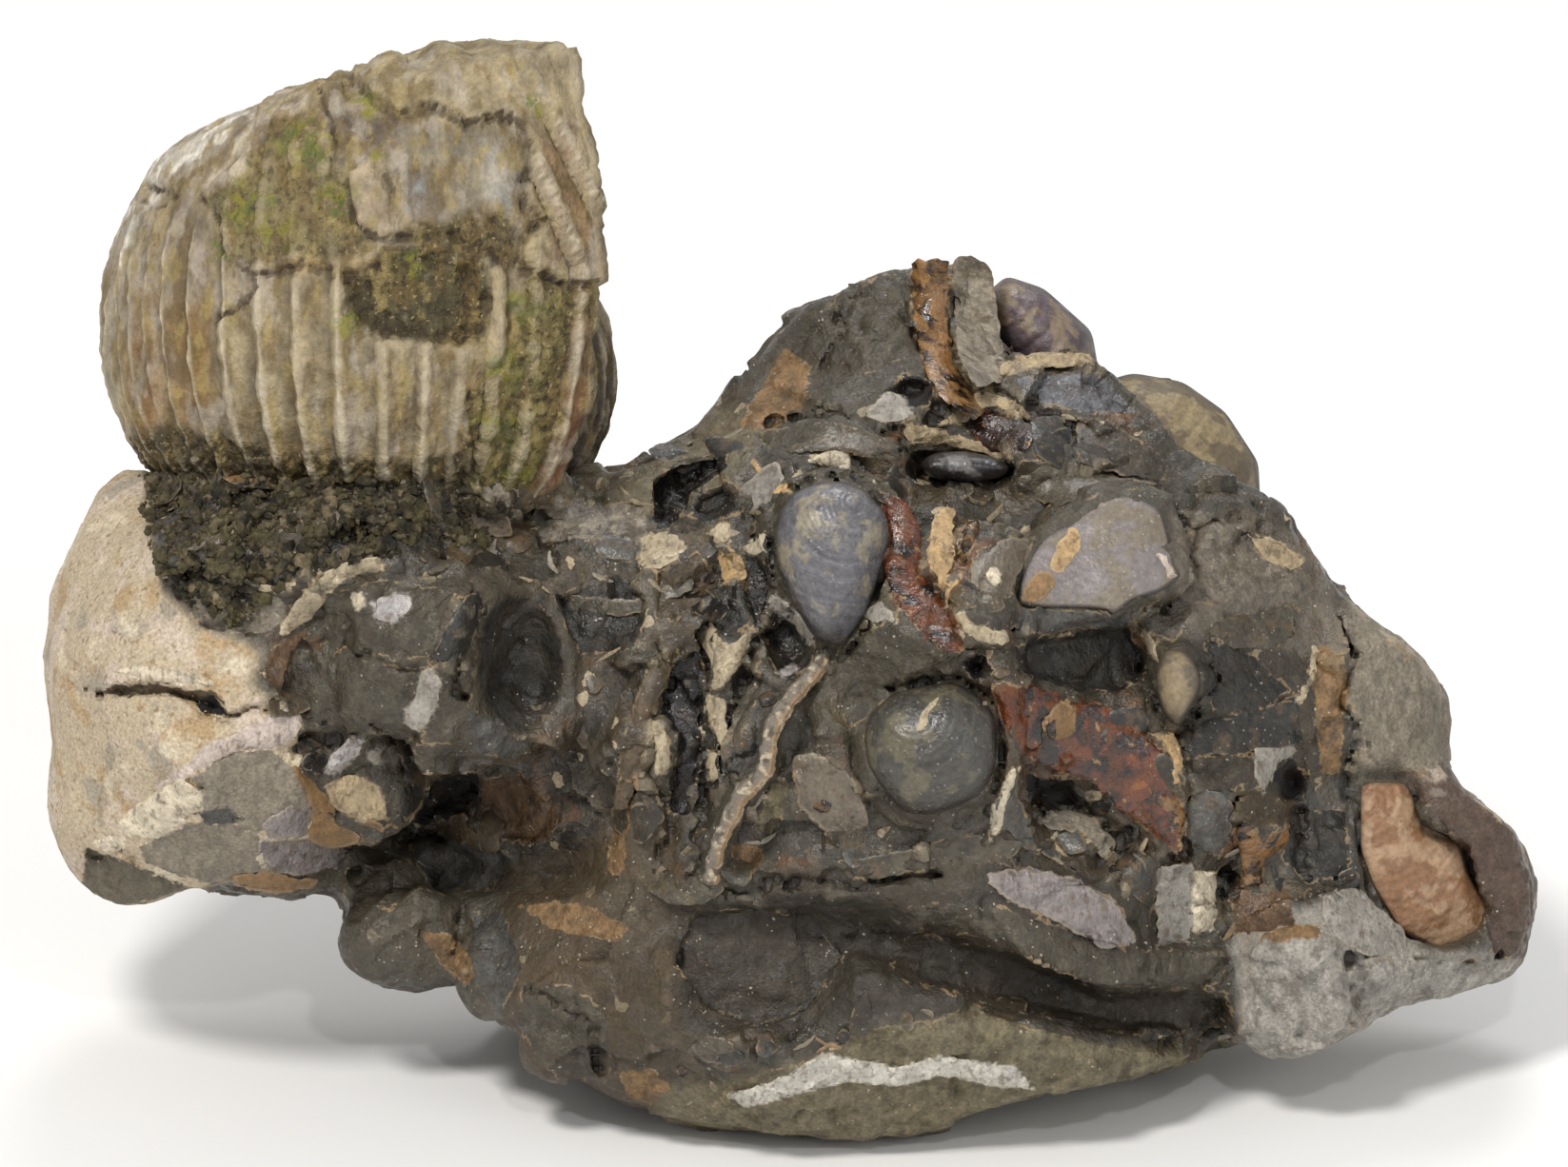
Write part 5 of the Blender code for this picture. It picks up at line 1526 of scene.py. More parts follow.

# %% [markdown]
# ## The shell's finish
# Old shell is chalky and dull. Rib crests are worn pale and carry a painted highlight,
# troughs and hollows are darkened with painted shade, cracks and crust are nearly black,
# and yellow-green moss grows in patches.

# %% The ammonite material
def ammonite_recipe():
    r = Recipe("ammonite shell")
    tall = r.vector("MULTIPLY", r.place, (1.0, 0.6, 0.4))
    cloud, streak = r.noise(2.6, 5.0), r.noise(1.3, 5.0, tall)
    colour = r.scaled(r.stored("ground", "Color"), r.ramp(cloud, 0.36, 0.64, 0.74, 1.2))
    brown = r.ramp(r.noise(1.9, 6.0, r.vector("ADD", tall, (7, 2, 5))), 0.46, 0.58, 0.0, 0.7)
    colour = r.blend(brown, colour, paint((106, 86, 48)))
    grey = r.ramp(r.noise(2.3, 6.0, r.vector("ADD", tall, (17, 12, 9))), 0.52, 0.62, 0.0, 0.65)
    grey = r.times(grey, r.ramp(r.stored("crust"), 0.2, 0.7, 1.0, 0.0))
    colour = r.blend(grey, colour, paint((164, 154, 138)))
    gold = r.ramp(r.noise(1.4, 6.0, r.vector("ADD", tall, (3, 19, 6))), 0.54, 0.62, 0.0, 0.6)
    colour = r.blend(gold, colour, paint((150, 132, 82)))
    colour = r.scaled(colour, r.ramp(streak, 0.3, 0.7, 0.8, 1.18))
    # Pale crests: worn shell and a painted highlight on each rib.
    pale = r.times(r.ramp(r.stored("crest"), 0.25, 0.8), r.ramp(r.noise(1.4, 4.0), 0.34, 0.56, 0.35, 0.9))
    colour = r.blend(pale, colour, paint((194, 183, 160)))
    grit = r.ramp(r.noise(0.6, 5.0), 0.5, 0.62)
    colour = r.blend(r.times(grit, r.ramp(r.stored("crust"), 0.0, 1.0, 0.16, 0.85)), colour,
                     paint((52, 44, 28)))
    specks = r.ramp(r.noise(0.4, 3.0, r.aside(31, 7, 3)), 0.6, 0.68)
    colour = r.blend(r.times(specks, r.ramp(r.stored("crust"), 0.1, 1.0, 0.1, 0.65)), colour,
                     paint((176, 158, 116)))
    mossy = r.times(r.stored("moss"), r.ramp(r.noise(0.9, 5.0), 0.44, 0.56, 0.0, 0.85))
    green = r.blend(r.ramp(r.noise(1.5, 3.0), 0.45, 0.6), paint((126, 122, 46)), paint((92, 102, 48)))
    colour = r.blend(mossy, colour, green)
    colour = r.scaled(colour, r.ramp(r.noise(0.3, 3.0), 0.3, 0.7, 0.88, 1.12))
    # Painted shade in the hollows and creases of the shell, joined with the dark cracks.
    dirt_and_shade = r.times(r.ramp(r.stored("near_form"), -0.012, -0.09), 0.62)
    dirt_and_shade = r.sum("MAXIMUM", dirt_and_shade, r.times(r.ramp(r.stored("wide_form"), -0.12, -0.6), 0.45))
    open_crack = r.times(r.ramp(r.stored("crack"), 0.12, 0.5),
                         r.ramp(r.noise(1.5, 4.0, tall), 0.38, 0.54, 0.25, 0.85))
    colour = r.blend(r.sum("MAXIMUM", dirt_and_shade, open_crack), colour, paint((56, 43, 27)))
    rubbed = r.times(r.ramp(r.stored("near_form"), 0.03, 0.14), 0.3)
    colour = r.blend(rubbed, colour, paint((190, 176, 148)))
    rough_height = r.times(r.noise(0.4, 5.0), r.ramp(r.stored("crust"), 0.0, 1.0, 0.7, 1.6))
    normal = r.bump(streak, 0.3, r.bump(rough_height, 0.3))
    return r.finish(colour, r.ramp(cloud, 0.3, 0.7, 0.5, 0.8), normal, Specular_IOR_Level=0.4)


shell_mesh.materials.append(ammonite_recipe())
shade_smooth(shell_mesh)
add_piece("ammonite_shell", shell_mesh, "tan_shell", "ammonite")
print("ammonite added")

# %% [markdown]
# ## Small shells in the stone
# A clam's valve grows in rings from its beak. So each one is woven as rings between the
# beak and the outline drawn in the face, raised into a dome, with faint growth ripples.
# A skirt runs back into the stone, which hides the joint as the real sediment does.

# %% Round an outline's corners
def dense(outline, step_mm=0.35):
    """The outline with points added and its corners rounded a little."""
    corners = np.array(outline, float)
    run = []
    for a, b in zip(corners, np.roll(corners, -1, axis=0)):
        n = max(2, int(np.linalg.norm(b - a) / step_mm))
        run += [a + (b - a) * k / n for k in range(n)]
    run = np.array(run)
    for _ in range(3):
        run = (np.roll(run, 1, axis=0) + 2 * run + np.roll(run, -1, axis=0)) / 4
    return run


print("a square gets", len(dense([(0, 0), (1, 0), (1, 1), (0, 1)])), "points")

# %% Weave a valve
def valve(name, outline, beak, level, dome, tilt=(0.0, 0.0), ripple=0.05, rings=46, skirt=2.0,
          spacing=0.55, wave=0.1):
    """A domed shell as a mesh. level is w at the outline's middle before the dome."""
    edge = dense(outline)
    middle = edge.mean(axis=0)
    around = len(edge)
    share = np.linspace(0, 1, rings)[1:]
    beak = np.array(beak, float)
    points = beak + share[:, None, None] * (edge - beak)
    flat = points.reshape(-1, 2)
    inside = np.maximum(inside_distance(flat, edge), 0)
    span = 1 - np.clip(inside / inside.max(), 0, 1)
    high = dome * np.sqrt(np.clip(1 - span ** 2.2, 0, 1))
    away = np.linalg.norm(flat - beak, axis=1)
    uneven = rough(on_face(flat), 5.0, 2, 11.0)
    lines = np.sin(2 * math.pi * (away / spacing + 0.8 * uneven))
    lines = lines + 0.6 * np.sin(2 * math.pi * away / (spacing * 3.3) + 1.0)
    high += ripple * lines * smoothstep(inside, 0, 0.4) + wave * uneven
    w = level + high + (flat - middle) @ np.array(tilt)
    top = np.column_stack([flat, w])
    tip = top[:around].mean(axis=0)
    out = (edge - middle) / np.linalg.norm(edge - middle, axis=1)[:, None]
    hem = np.column_stack([edge - 0.25 * out, top[-around:, 2] - skirt])
    points = np.concatenate([[tip], top, hem])
    k = np.arange(around)
    after = (k + 1) % around
    faces = [(0, 1 + a, 1 + b) for a, b in zip(k, after)]
    for ring in range(rings - 1):
        low = 1 + ring * around
        faces += list(zip(low + k, low + around + k, low + around + after, low + after))
    mesh = mesh_of_faces(name, points, faces)
    grow = np.concatenate([[0], away, away[-around:]])
    set_value(mesh, "grow", grow)
    set_value(mesh, "rim", np.concatenate([[inside.max()], inside, np.zeros(around)]))
    shade_smooth(mesh)
    set_curvature(mesh)
    return mesh


# %% [markdown]
# ## The finish of the small shells
# Shell breaks and light bend in thin layers, which gives grey-blue and lilac sheens. One
# recipe makes them all: two shell colours in growth bands, a worn colour in clouds, a
# darker colour towards the rim, painted shade in hollows, painted sparkle highlights
# and a gloss.

# %% The shell material
def shell_recipe(name, light, dark, worn, worn_share=0.3, gloss=0.7, sparkle=0.0, bands=0.5):
    r = Recipe(name)
    grow = r.sum("ADD", r.stored("grow"), r.times(r.noise(3.0, 3.0), 1.2))
    band = r.noise(0.5, 4.0, r.add("CombineXYZ", X=grow).outputs[0])
    colour = r.blend(r.ramp(band, 0.5 - bands / 2, 0.5 + bands / 2), paint(dark), paint(light))
    cloud = r.noise(2.6, 5.0, r.aside(5, 9, 2))
    colour = r.blend(r.ramp(cloud, 0.72 - worn_share, 0.8 - worn_share), colour, paint(worn))
    colour = r.scaled(colour, r.ramp(r.noise(0.5, 3.0), 0.3, 0.7, 0.82, 1.18))
    # Darker towards the rim, where the shell meets the stone.
    colour = r.blend(r.ramp(r.stored("rim"), 0.45, 0.0, 0.0, 0.6), colour, paint((44, 38, 32)))
    # Painted shade in the hollows of the shell.
    dirt_and_shade = r.times(r.ramp(r.stored("near_form"), -0.01, -0.08), 0.6)
    colour = r.blend(dirt_and_shade, colour, paint((30, 26, 22)))
    cells = r.bits(0.45, place=r.warped(0.5, 0.3))
    # Painted sparkle: tiny pale highlights on the shell.
    painted_sparkle = r.times(r.ramp(r.part(r.bits(0.15), 1), 0.98, 0.99), sparkle)
    colour = r.blend(painted_sparkle, colour, paint((184, 178, 174)))
    rough_now = r.ramp(r.noise(1.2, 4.0), 0.3, 0.7, 0.8 - 0.62 * gloss, 0.95 - 0.5 * gloss)
    height = r.sum("ADD", r.noise(0.35, 3.0), r.times(r.part(cells, 1), 2.2 * sparkle))
    normal = r.bump(r.sum("ADD", height, r.times(band, 0.4)), 0.08)
    normal = r.bump(r.noise(1.6, 3.0), 0.16, normal)
    return r.finish(colour, rough_now, normal, Specular_IOR_Level=0.6)


# %% The eight small shells
SHELLS = {
    "upper_clam": dict(outline=points_in("""
        -7,50 5,70 25,79 45,80 65,73 80,54 83,35 76,10 70,-10 64,-27 47,-50 33,-49
        20,-38 5,-10 -5,10 -8,30"""),
         beak=(5.2, 6.4), level=18.6, dome=4.6, ripple=0.04, spacing=0.5),
    "lower_clam": dict(outline=points_in("""
        85,-85 105,-80 130,-76 150,-85 165,-102 166,-140 154,-165 120,-180 95,-180
        80,-165 65,-145 61,-120 68,-100"""),
         beak=(9.8, -9.6), level=20.6, dome=4.3, ripple=0.025, spacing=0.6),
    "oval_clam": dict(outline=points_in("""
        294,-53 310,-50 322,-62 327,-80 318,-97 308,-114 297,-105 289,-80"""),
         beak=(30.2, -5.6), level=14.0, dome=2.4, ripple=0.03, spacing=0.4, rings=26),
    "pocket_shell": dict(outline=points_in("""
        104,92 115,102 140,104 166,99 180,90 170,82 140,79 116,82"""),
         beak=(17, 9), level=9.6, dome=2.4, ripple=0.02, spacing=0.5, rings=30),
    "shell_plate": dict(outline=points_in("""
        180,-17 186,10 200,34 225,48 240,65 270,70 295,59 301,35 306,10 312,7 295,-6
        270,-13 263,-20 257,-27 250,-20 220,-19 190,-19"""),
         beak=(24.6, 3.4), level=15.6, dome=1.0, tilt=(-0.12, -0.42), ripple=0.015, spacing=2.6,
         wave=0.3),
    "pink_shell": dict(outline=points_in("""
        453,-156 490,-156 496,-170 504,-198 533,-203 540,-230 556,-256 568,-274 576,-290
        520,-292 486,-275 464,-240 453,-210"""),
         beak=(46.4, -17.2), level=0.6, dome=0.8, tilt=(-0.55, 0.15), ripple=0.07, spacing=0.75,
         wave=0.3),
    "back_clam_left": dict(outline=points_in("""
        156,226 176,244 206,234 244,200 250,166 230,150 200,156 176,180 158,206"""),
         beak=(17, 23), level=-9.6, dome=5.6, ripple=0.05, spacing=1.1, wave=0.3, skirt=6),
    "back_clam_right": dict(outline=points_in("""
        224,120 240,156 276,167 316,160 350,136 376,96 378,54 350,26 296,24 250,50
        226,84"""),
         beak=(29, 15.6), level=-9.6, dome=7.6, ripple=0.05, spacing=1.2, wave=0.35, skirt=8),
}
SHELL_FINISHES = {
    "upper_clam": dict(light=(112, 111, 114), dark=(78, 77, 80), worn=(134, 126, 110), worn_share=0.2,
                       gloss=1.0, sparkle=0.2),
    "lower_clam": dict(light=(78, 75, 68), dark=(54, 52, 49), worn=(92, 87, 70), worn_share=0.22,
                       gloss=0.9, sparkle=0.3),
    "oval_clam": dict(light=(118, 106, 88), dark=(96, 86, 72), worn=(134, 118, 92), worn_share=0.25,
                      gloss=0.5),
    "pocket_shell": dict(light=(46, 44, 46), dark=(26, 25, 26), worn=(110, 108, 106), worn_share=0.2,
                         gloss=0.95),
    "shell_plate": dict(light=(134, 126, 124), dark=(104, 97, 95), worn=(118, 108, 94), worn_share=0.26,
                        gloss=0.75, sparkle=0.4, bands=1.5),
    "pink_shell": dict(light=(150, 112, 78), dark=(122, 86, 58), worn=(164, 134, 104), worn_share=0.25,
                       gloss=0.75, bands=0.9),
    "back_clam_left": dict(light=(98, 88, 96), dark=(76, 58, 56), worn=(120, 104, 86), worn_share=0.24,
                           gloss=0.7),
    "back_clam_right": dict(light=(146, 130, 96), dark=(116, 102, 76), worn=(98, 86, 66),
                            worn_share=0.26, gloss=0.45),
}
SLOTS = {"oval_clam": "cream_shell", "pink_shell": "pink_shell", "back_clam_left": "nacre",
         "back_clam_right": "nacre"}
for name, form in SHELLS.items():
    mesh = valve(name, **form)
    mesh.materials.append(shell_recipe(name, **SHELL_FINISHES[name]))
    add_piece(name + "_valve", mesh, SLOTS.get(name, "grey_shell"), name)
print("small shells:", len(SHELLS))

# %% [markdown]
# ## A shell seen edge on
# One thin broken shell runs down the middle of the face and shows only its edge. It is
# a chain of short worn pieces, so the bar is pinched where one piece meets the next.

# %% The shell seen edge on
EDGE_ROUTE = [(3.3, -5.6, 19.4), (2.3, -7, 20.2), (0.5, -9, 21), (-0.8, -11, 21.4), (-1.1, -12.2, 21.5),
              (-1.4, -14.4, 21.5), (-2.1, -15.4, 21.3), (-3.3, -16.4, 21.1), (-4, -18, 20.7),
              (-5, -20, 20), (-5.5, -22, 18.9), (-5.7, -23.6, 18)]


def bar(name, route, half_width, half_depth, joint=1.9, around=9, pinch=0.16):
    """A ragged flat bar along a route in face millimetres."""
    corners = np.array(route, float)
    steps = np.concatenate([[0], np.cumsum(np.linalg.norm(np.diff(corners, axis=0), axis=1))])
    along = np.arange(0, steps[-1], 0.16)
    centre = np.column_stack([np.interp(along, steps, corners[:, i]) for i in range(3)])
    for _ in range(4):
        centre[1:-1] = (centre[:-2] + 2 * centre[1:-1] + centre[2:]) / 4
    heading = np.gradient(centre, axis=0)
    heading /= np.linalg.norm(heading, axis=1)[:, None]
    across = np.cross(heading, [0, 0, 1])
    across /= np.linalg.norm(across, axis=1)[:, None]
    wobble = rough(np.column_stack([along, np.zeros(len(along)), np.zeros(len(along))]), 1.1, 3, 6.0)
    cell = (along / joint + 0.35 * wobble) % 1
    size = (1 - pinch * np.exp(-((cell - 0.5) / 0.13) ** 2)) * (1 + 0.22 * wobble)
    size *= smoothstep(along, -0.3, 0.5) * smoothstep(along, steps[-1] + 0.3, steps[-1] - 0.6)
    turn = np.linspace(0, 2 * math.pi, around, endpoint=False)
    points = (centre[:, None] + across[:, None] * (half_width * size[:, None] * np.cos(turn))[:, :, None]
              + np.array([0, 0, 1]) * (half_depth * size[:, None] * np.sin(turn))[:, :, None])
    k = np.arange(around)
    faces = []
    for n in range(len(along) - 1):
        faces += list(zip(n * around + k, n * around + (k + 1) % around,
                          (n + 1) * around + (k + 1) % around, (n + 1) * around + k))
    faces += [tuple(k[::-1]), tuple((len(along) - 1) * around + k)]
    mesh = mesh_of_faces(name, points.reshape(-1, 3), faces)
    set_value(mesh, "side", np.tile(np.cos(turn), len(along)))
    set_value(mesh, "grow", np.repeat(along, around))
    set_value(mesh, "rim", np.ones(len(along) * around))
    shade_smooth(mesh, 25)
    set_curvature(mesh)
    return mesh


def edge_recipe():
    r = Recipe("shell edge")
    split = r.sum("ADD", r.stored("side"), r.times(r.sum("SUBTRACT", r.noise(0.8, 4.0), 0.5), 1.6))
    colour = r.blend(r.ramp(split, -0.5, 0.2), paint((142, 118, 90)), paint((116, 108, 96)))
    pale = r.ramp(r.noise(0.7, 4.0, r.aside(3, 3, 8)), 0.5, 0.62, 0.0, 0.8)
    colour = r.blend(pale, colour, paint((188, 174, 148)))
    dirt_and_shade = r.ramp(r.noise(1.1, 4.0, r.aside(9, 1, 4)), 0.54, 0.64, 0.0, 0.75)
    colour = r.blend(dirt_and_shade, colour, paint((70, 60, 50)))
    normal = r.bump(r.noise(0.3, 4.0), 0.16)
    return r.finish(colour, 0.5, normal, Specular_IOR_Level=0.5)


edge_mesh = bar("shell_edge", EDGE_ROUTE, 0.72, 0.75)
edge_mesh.materials.append(edge_recipe())
add_piece("shell_edge_bar", edge_mesh, "cream_shell", "shell_edge")
print("shell edge added")

# %% [markdown]
# ## Thin flakes with crisp edges
# Broken shell ends in a sharp step, sharper than the grid of the stone can hold. So each
# flake is also laid on as a thin plate of its own. Its outline is made ragged, filled
# with small triangles, draped over the stone below and closed by a rim that runs down
# into the rock.

# %% Drape a flake
stone_tree = tree_of(stone_mesh)
STEP = 0.38
RIM_DEPTH = 1.3
NO_STONE = -99.0


def stone_front(points, tree=stone_tree):
    """The front w under each (u, v) point, or NO_STONE where there is none."""
    found = np.full(len(points), NO_STONE)
    for i, (u, v) in enumerate(points):
        hit = tree.ray_cast(Vector((u, v, 60)), Vector((0, 0, -1)))[0]
        if hit:
            found[i] = hit.z
    return found


def ragged_outline(outline, amount=0.22, shift=0.0):
    edge = dense(outline, 0.3)
    flat = np.column_stack([edge, np.full(len(edge), shift)])
    return edge + amount * rough_pair(flat, 0.8, 3, 1.0 + shift, 21.0 + shift)


def flake_grid(edge):
    """Triangles that fill an outline, and how far inside it each point is."""
    low, high = edge.min(axis=0), edge.max(axis=0)
    us, vs = np.arange(low[0], high[0], STEP), np.arange(low[1], high[1], STEP * 0.87)
    U, V = np.meshgrid(us, vs, indexing="ij")
    U = U + STEP / 2 * (np.arange(len(vs)) % 2)
    filling = np.column_stack([U.ravel(), V.ravel()])
    side = np.roll(edge, -1, axis=0) - np.roll(edge, 1, axis=0)
    side /= np.linalg.norm(side, axis=1)[:, None] + 1e-9
    across = np.column_stack([-side[:, 1], side[:, 0]])
    ring = np.concatenate([edge + 0.12 * across, edge - 0.12 * across])
    ring = ring[inside_distance(ring, edge) > 0.08]
    filling = filling[inside_distance(filling, edge) > 0.26]
    spots = np.concatenate([edge, ring, filling])
    loop = [(i, (i + 1) % len(edge)) for i in range(len(edge))]
    made = delaunay_2d_cdt([Vector(p) for p in spots], loop, [], 1, 1e-5)
    points = np.array([tuple(p) for p in made[0]])
    triangles = np.array(made[2])
    return points, triangles, inside_distance(points, edge)


def smooth_fit(points, heights):
    """A gently curved sheet through the stone's heights, ignoring deep gaps."""
    middle = np.median(heights)
    keep = np.abs(heights - middle) < 3.5
    arms = points - points.mean(axis=0)
    terms = np.column_stack([np.ones(len(arms)), arms, 0.15 * arms ** 2, 0.15 * arms[:, 0] * arms[:, 1]])
    if keep.sum() < 14:
        terms = terms[:, :3]
    if keep.sum() < 4:
        return np.full(len(points), middle)
    settle = 0.4 * np.eye(terms.shape[1])
    settle[0] = 0
    system = np.concatenate([terms[keep], settle])
    values = np.linalg.lstsq(system, np.concatenate([heights[keep], np.zeros(len(settle))]), rcond=None)[0]
    return terms @ values


print("stone under the upper clam reaches w =", round(float(stone_front([(3.0, 2.0)])[0]), 1))

# %% Lay a flake on the stone
def lay_flake(outline, lift, tilt=(0.0, 0.0), dome=0.0, shift=0.0, amount=0.22, tree=stone_tree):
    """Points, triangles with a closed rim, and rim distances of one flake, or None."""
    edge = ragged_outline(outline, amount, shift)
    points, triangles, inside = flake_grid(edge)
    if not len(triangles):
        return None
    heights = stone_front(points, tree)
    if (heights == NO_STONE).mean() > 0.2:
        return None
    heights = np.where(heights == NO_STONE, np.median(heights), heights)
    arms = points - points.mean(axis=0)
    top = smooth_fit(points, heights) + lift + arms @ np.array(tilt)
    depth = np.clip(inside / max(inside.max(), 0.1), 0, 1)
    top += dome * (1 - (1 - depth) ** 2) - 0.1 * (1 - smoothstep(inside, -0.02, 0.16))
    top += 0.05 * rough(np.column_stack([points, top]), 1.6, 3, 4.0)
    pairs = np.concatenate([triangles[:, [0, 1]], triangles[:, [1, 2]], triangles[:, [2, 0]]])
    keys = np.sort(pairs, axis=1)
    _, first, times = np.unique(keys, axis=0, return_index=True, return_counts=True)
    border = pairs[first[times == 1]]
    on_rim = np.unique(border)
    lower = np.full(len(points), -1)
    lower[on_rim] = len(points) + np.arange(len(on_rim))
    hem = np.column_stack([points[on_rim], top[on_rim] - RIM_DEPTH])
    walls = [(a, b, lower[b]) for a, b in border[:, ::-1]]
    walls += [(a, lower[b], lower[a]) for a, b in border[:, ::-1]]
    cloud = np.concatenate([np.column_stack([points, top]), hem])
    return cloud, np.concatenate([triangles, np.array(walls)]), np.concatenate([inside, np.zeros(len(hem))])


print("a flake's rim runs", RIM_DEPTH, "mm into the rock")

# %% Collect flakes in heaps
class Heap:
    """Collects many flakes into one mesh with their colours."""

    def __init__(self, name):
        self.name, self.total = name, 0
        self.points, self.faces, self.tints, self.gloss, self.rims = [], [], [], [], []

    def put(self, laid, finish, shade=1.0):
        if laid is None:
            return
        points, faces, rims = laid
        self.points.append(points)
        self.faces.append(faces + self.total)
        self.tints.append(np.tile(linear(FINISHES[finish][0]) * shade, (len(points), 1)))
        self.gloss.append(np.full(len(points), FINISHES[finish][1]))
        self.rims.append(rims)
        self.total += len(points)

    def build(self):
        mesh = mesh_from(self.name, np.concatenate(self.points), np.concatenate(self.faces))
        set_colour(mesh, "tint", np.concatenate(self.tints))
        set_value(mesh, "gloss", np.concatenate(self.gloss))
        set_value(mesh, "rim", np.concatenate(self.rims))
        shade_smooth(mesh, 38)
        print(self.name, "triangles:", len(mesh.polygons))
        return mesh


PALE = {"cream", "light skin", "rose skin", "yellow cream", "white vein", "bone", "ash", "pearl",
        "lilac", "sand", "ochre", "grain"}
GLASSY = {"amber", "garnet", "honey"}
PAINTED_ONLY = {"pit", "rust", "maroon", "shadow", "clay"}
LARGEST_FLAKE = 48.0
pale_heap, glassy_heap, dark_heap = Heap("pale_flakes"), Heap("amber_crystals"), Heap("dark_flakes")


def heap_of(finish):
    return pale_heap if finish in PALE else glassy_heap if finish in GLASSY else dark_heap


print("pale finishes:", len(PALE), "glassy finishes:", len(GLASSY))

# %% Lay the drawn flakes
DEEPEST_PLATE = -0.9
rng = np.random.default_rng(21)
for number, (finish, outline, lift, tilt_u, tilt_v) in enumerate(FLAKES):
    painted = finish in PAINTED_ONLY or (finish not in PALE | GLASSY and lift < 0.5)
    if painted or lift < DEEPEST_PLATE or (area(outline) > LARGEST_FLAKE and finish not in GLASSY):
        continue
    dome = rng.uniform(-0.1, 0.35) if finish not in GLASSY else rng.uniform(0.2, 0.6)
    heap_of(finish).put(lay_flake(outline, rng.uniform(0.08, 0.2), dome=dome, shift=number * 0.37), finish)
print("flakes laid on the stone:", len(pale_heap.points) + len(glassy_heap.points) + len(dark_heap.points))

# %% Lay flakes on two of the shells
ON_SHELLS = [
    ("shell_plate", "yellow cream", [(20.6, 1.2), (21.4, 3.2), (22.4, 4.6), (23.2, 4.4), (23.2, 3),
                                     (22.4, 1.6), (21.4, 0.4)]),
    ("shell_plate", "ochre", [(18.4, -1.4), (19, 0.4), (20.2, 1.2), (21.2, 0.6), (21, -0.6), (19.8, -1.6)]),
    ("shell_plate", "yellow cream", [(22.6, 5.2), (23.6, 6.4), (25.4, 6.8), (25, 5.8), (23.8, 4.9)]),
    ("shell_plate", "rose skin", [(28.8, 2.6), (29.6, 2.4), (30.6, 0.9), (31, 0.4), (29.8, 0.4),
                                  (29.4, 1.4)]),
    ("lower_clam", "bone", [(10.2, -11.8), (10.5, -10.2), (11.5, -9), (12.3, -8.6), (11.5, -9.8), (11, -11)]),
]
valve_trees = {}
for name in ("shell_plate", "lower_clam"):
    valve_trees[name] = tree_of(bpy.data.objects[name + "_valve"].data)
for number, (name, finish, outline) in enumerate(ON_SHELLS):
    laid_on = lay_flake(outline, 0.1, shift=number * 0.53, amount=0.2, tree=valve_trees[name])
    pale_heap.put(laid_on, finish)
print("flakes laid on shells:", len(ON_SHELLS))

# %% [markdown]
# ## Loose chips all over the dark rock
# Where nothing was drawn the rock is still broken shell. More than a hundred
# small chips with random corners, slopes and dark finishes fill it, each half sunk into
# the stone. A fixed seed keeps them the same in every run.

# %% Scatter the chips
CHIP_FINISHES = ["soot", "dark umber", "drab", "umber", "slate", "jet", "warm grey", "maroon", "rust",
                 "bone", "ash", "ochre"]
CHIP_SHARES = np.array([22, 20, 20, 12, 11, 8, 3, 2, 1.4, 1.0, 1.0, 0.6])
CHIP_COUNT = 130


def turned_by(flat, turn):
    """Flat points turned about their middle, the turn in radians."""
    spin = np.array([[math.cos(turn), -math.sin(turn)], [math.sin(turn), math.cos(turn)]])
    return flat @ spin.T


def chip_outline(centre, radius, long, turn, corners):
    angles = np.sort(rng.uniform(0, 2 * math.pi, corners))
    angles = (angles + 2 * np.linspace(0, 2 * math.pi, corners, endpoint=False)) / 3
    radii = radius * rng.uniform(0.75, 1.2, corners)
    flat = np.column_stack([radii * np.cos(angles) * long, radii * np.sin(angles) / long])
    return centre + turned_by(flat, turn)


def near_drawn(spot):
    """Whether a spot lies on a flake or small shell that was drawn."""
    point = np.array([spot])
    outlines = [flake[1] for flake in FLAKES if area(flake[1]) <= LARGEST_FLAKE]
    outlines += [form["outline"] for form in SHELLS.values()]
    return any(inside_distance(point, o)[0] > -0.2 for o in outlines
               if (np.abs(point[0] - np.mean(o, axis=0)) < 12).all())


skin, normals = points_of(stone_mesh), normals_of(stone_mesh)
_, broken = zone_of(skin)
ready = np.flatnonzero((normals[:, 2] > 0.35) & (broken > 0.5) & (skin[:, 2] > front_depth(skin[:, :2]) - 4))
laid = 0
for index in rng.permutation(ready)[:CHIP_COUNT * 3]:
    spot = skin[index, :2]
    if laid >= CHIP_COUNT or near_drawn(spot):
        continue
    radius = rng.uniform(0.7, 1.0) * rng.choice([1.0, 1.6, 2.4], p=[0.4, 0.35, 0.25])
    outline = chip_outline(spot, radius, rng.uniform(1, 1.5), rng.uniform(0, math.pi),
                           int(rng.integers(5, 8)))
    finish = rng.choice(CHIP_FINISHES, p=CHIP_SHARES / CHIP_SHARES.sum())
    tilt = rng.normal(0, 0.22, 2)
    done = lay_flake(outline, rng.uniform(-0.12, 0.22), tilt, rng.uniform(-0.25, 0.35), laid * 0.71, 0.12)
    heap_of(finish).put(done, finish, rng.uniform(0.8, 1.15))
    laid += done is not None
print("chips laid:", laid)

# %% [markdown]
# ## Slivers
# Thin shells that broke across show as pale lines a few millimetres long. They are the
# brightest small things on the dark rock, so they get a heap of their own finish.

# %% Scatter the slivers
SLIVER_COUNT = 45


def sliver_outline(centre, length, width, turn, bend):
    along = np.linspace(-1, 1, 7)
    middle, half = bend * (1 - along ** 2), width / 2 * np.sqrt(1 - 0.9 * along ** 2)
    low, top = (np.column_stack([along * length / 2, edge]) for edge in (middle - half, middle + half))
    flat = np.concatenate([low, top[::-1]])
    return centre + turned_by(flat, turn)


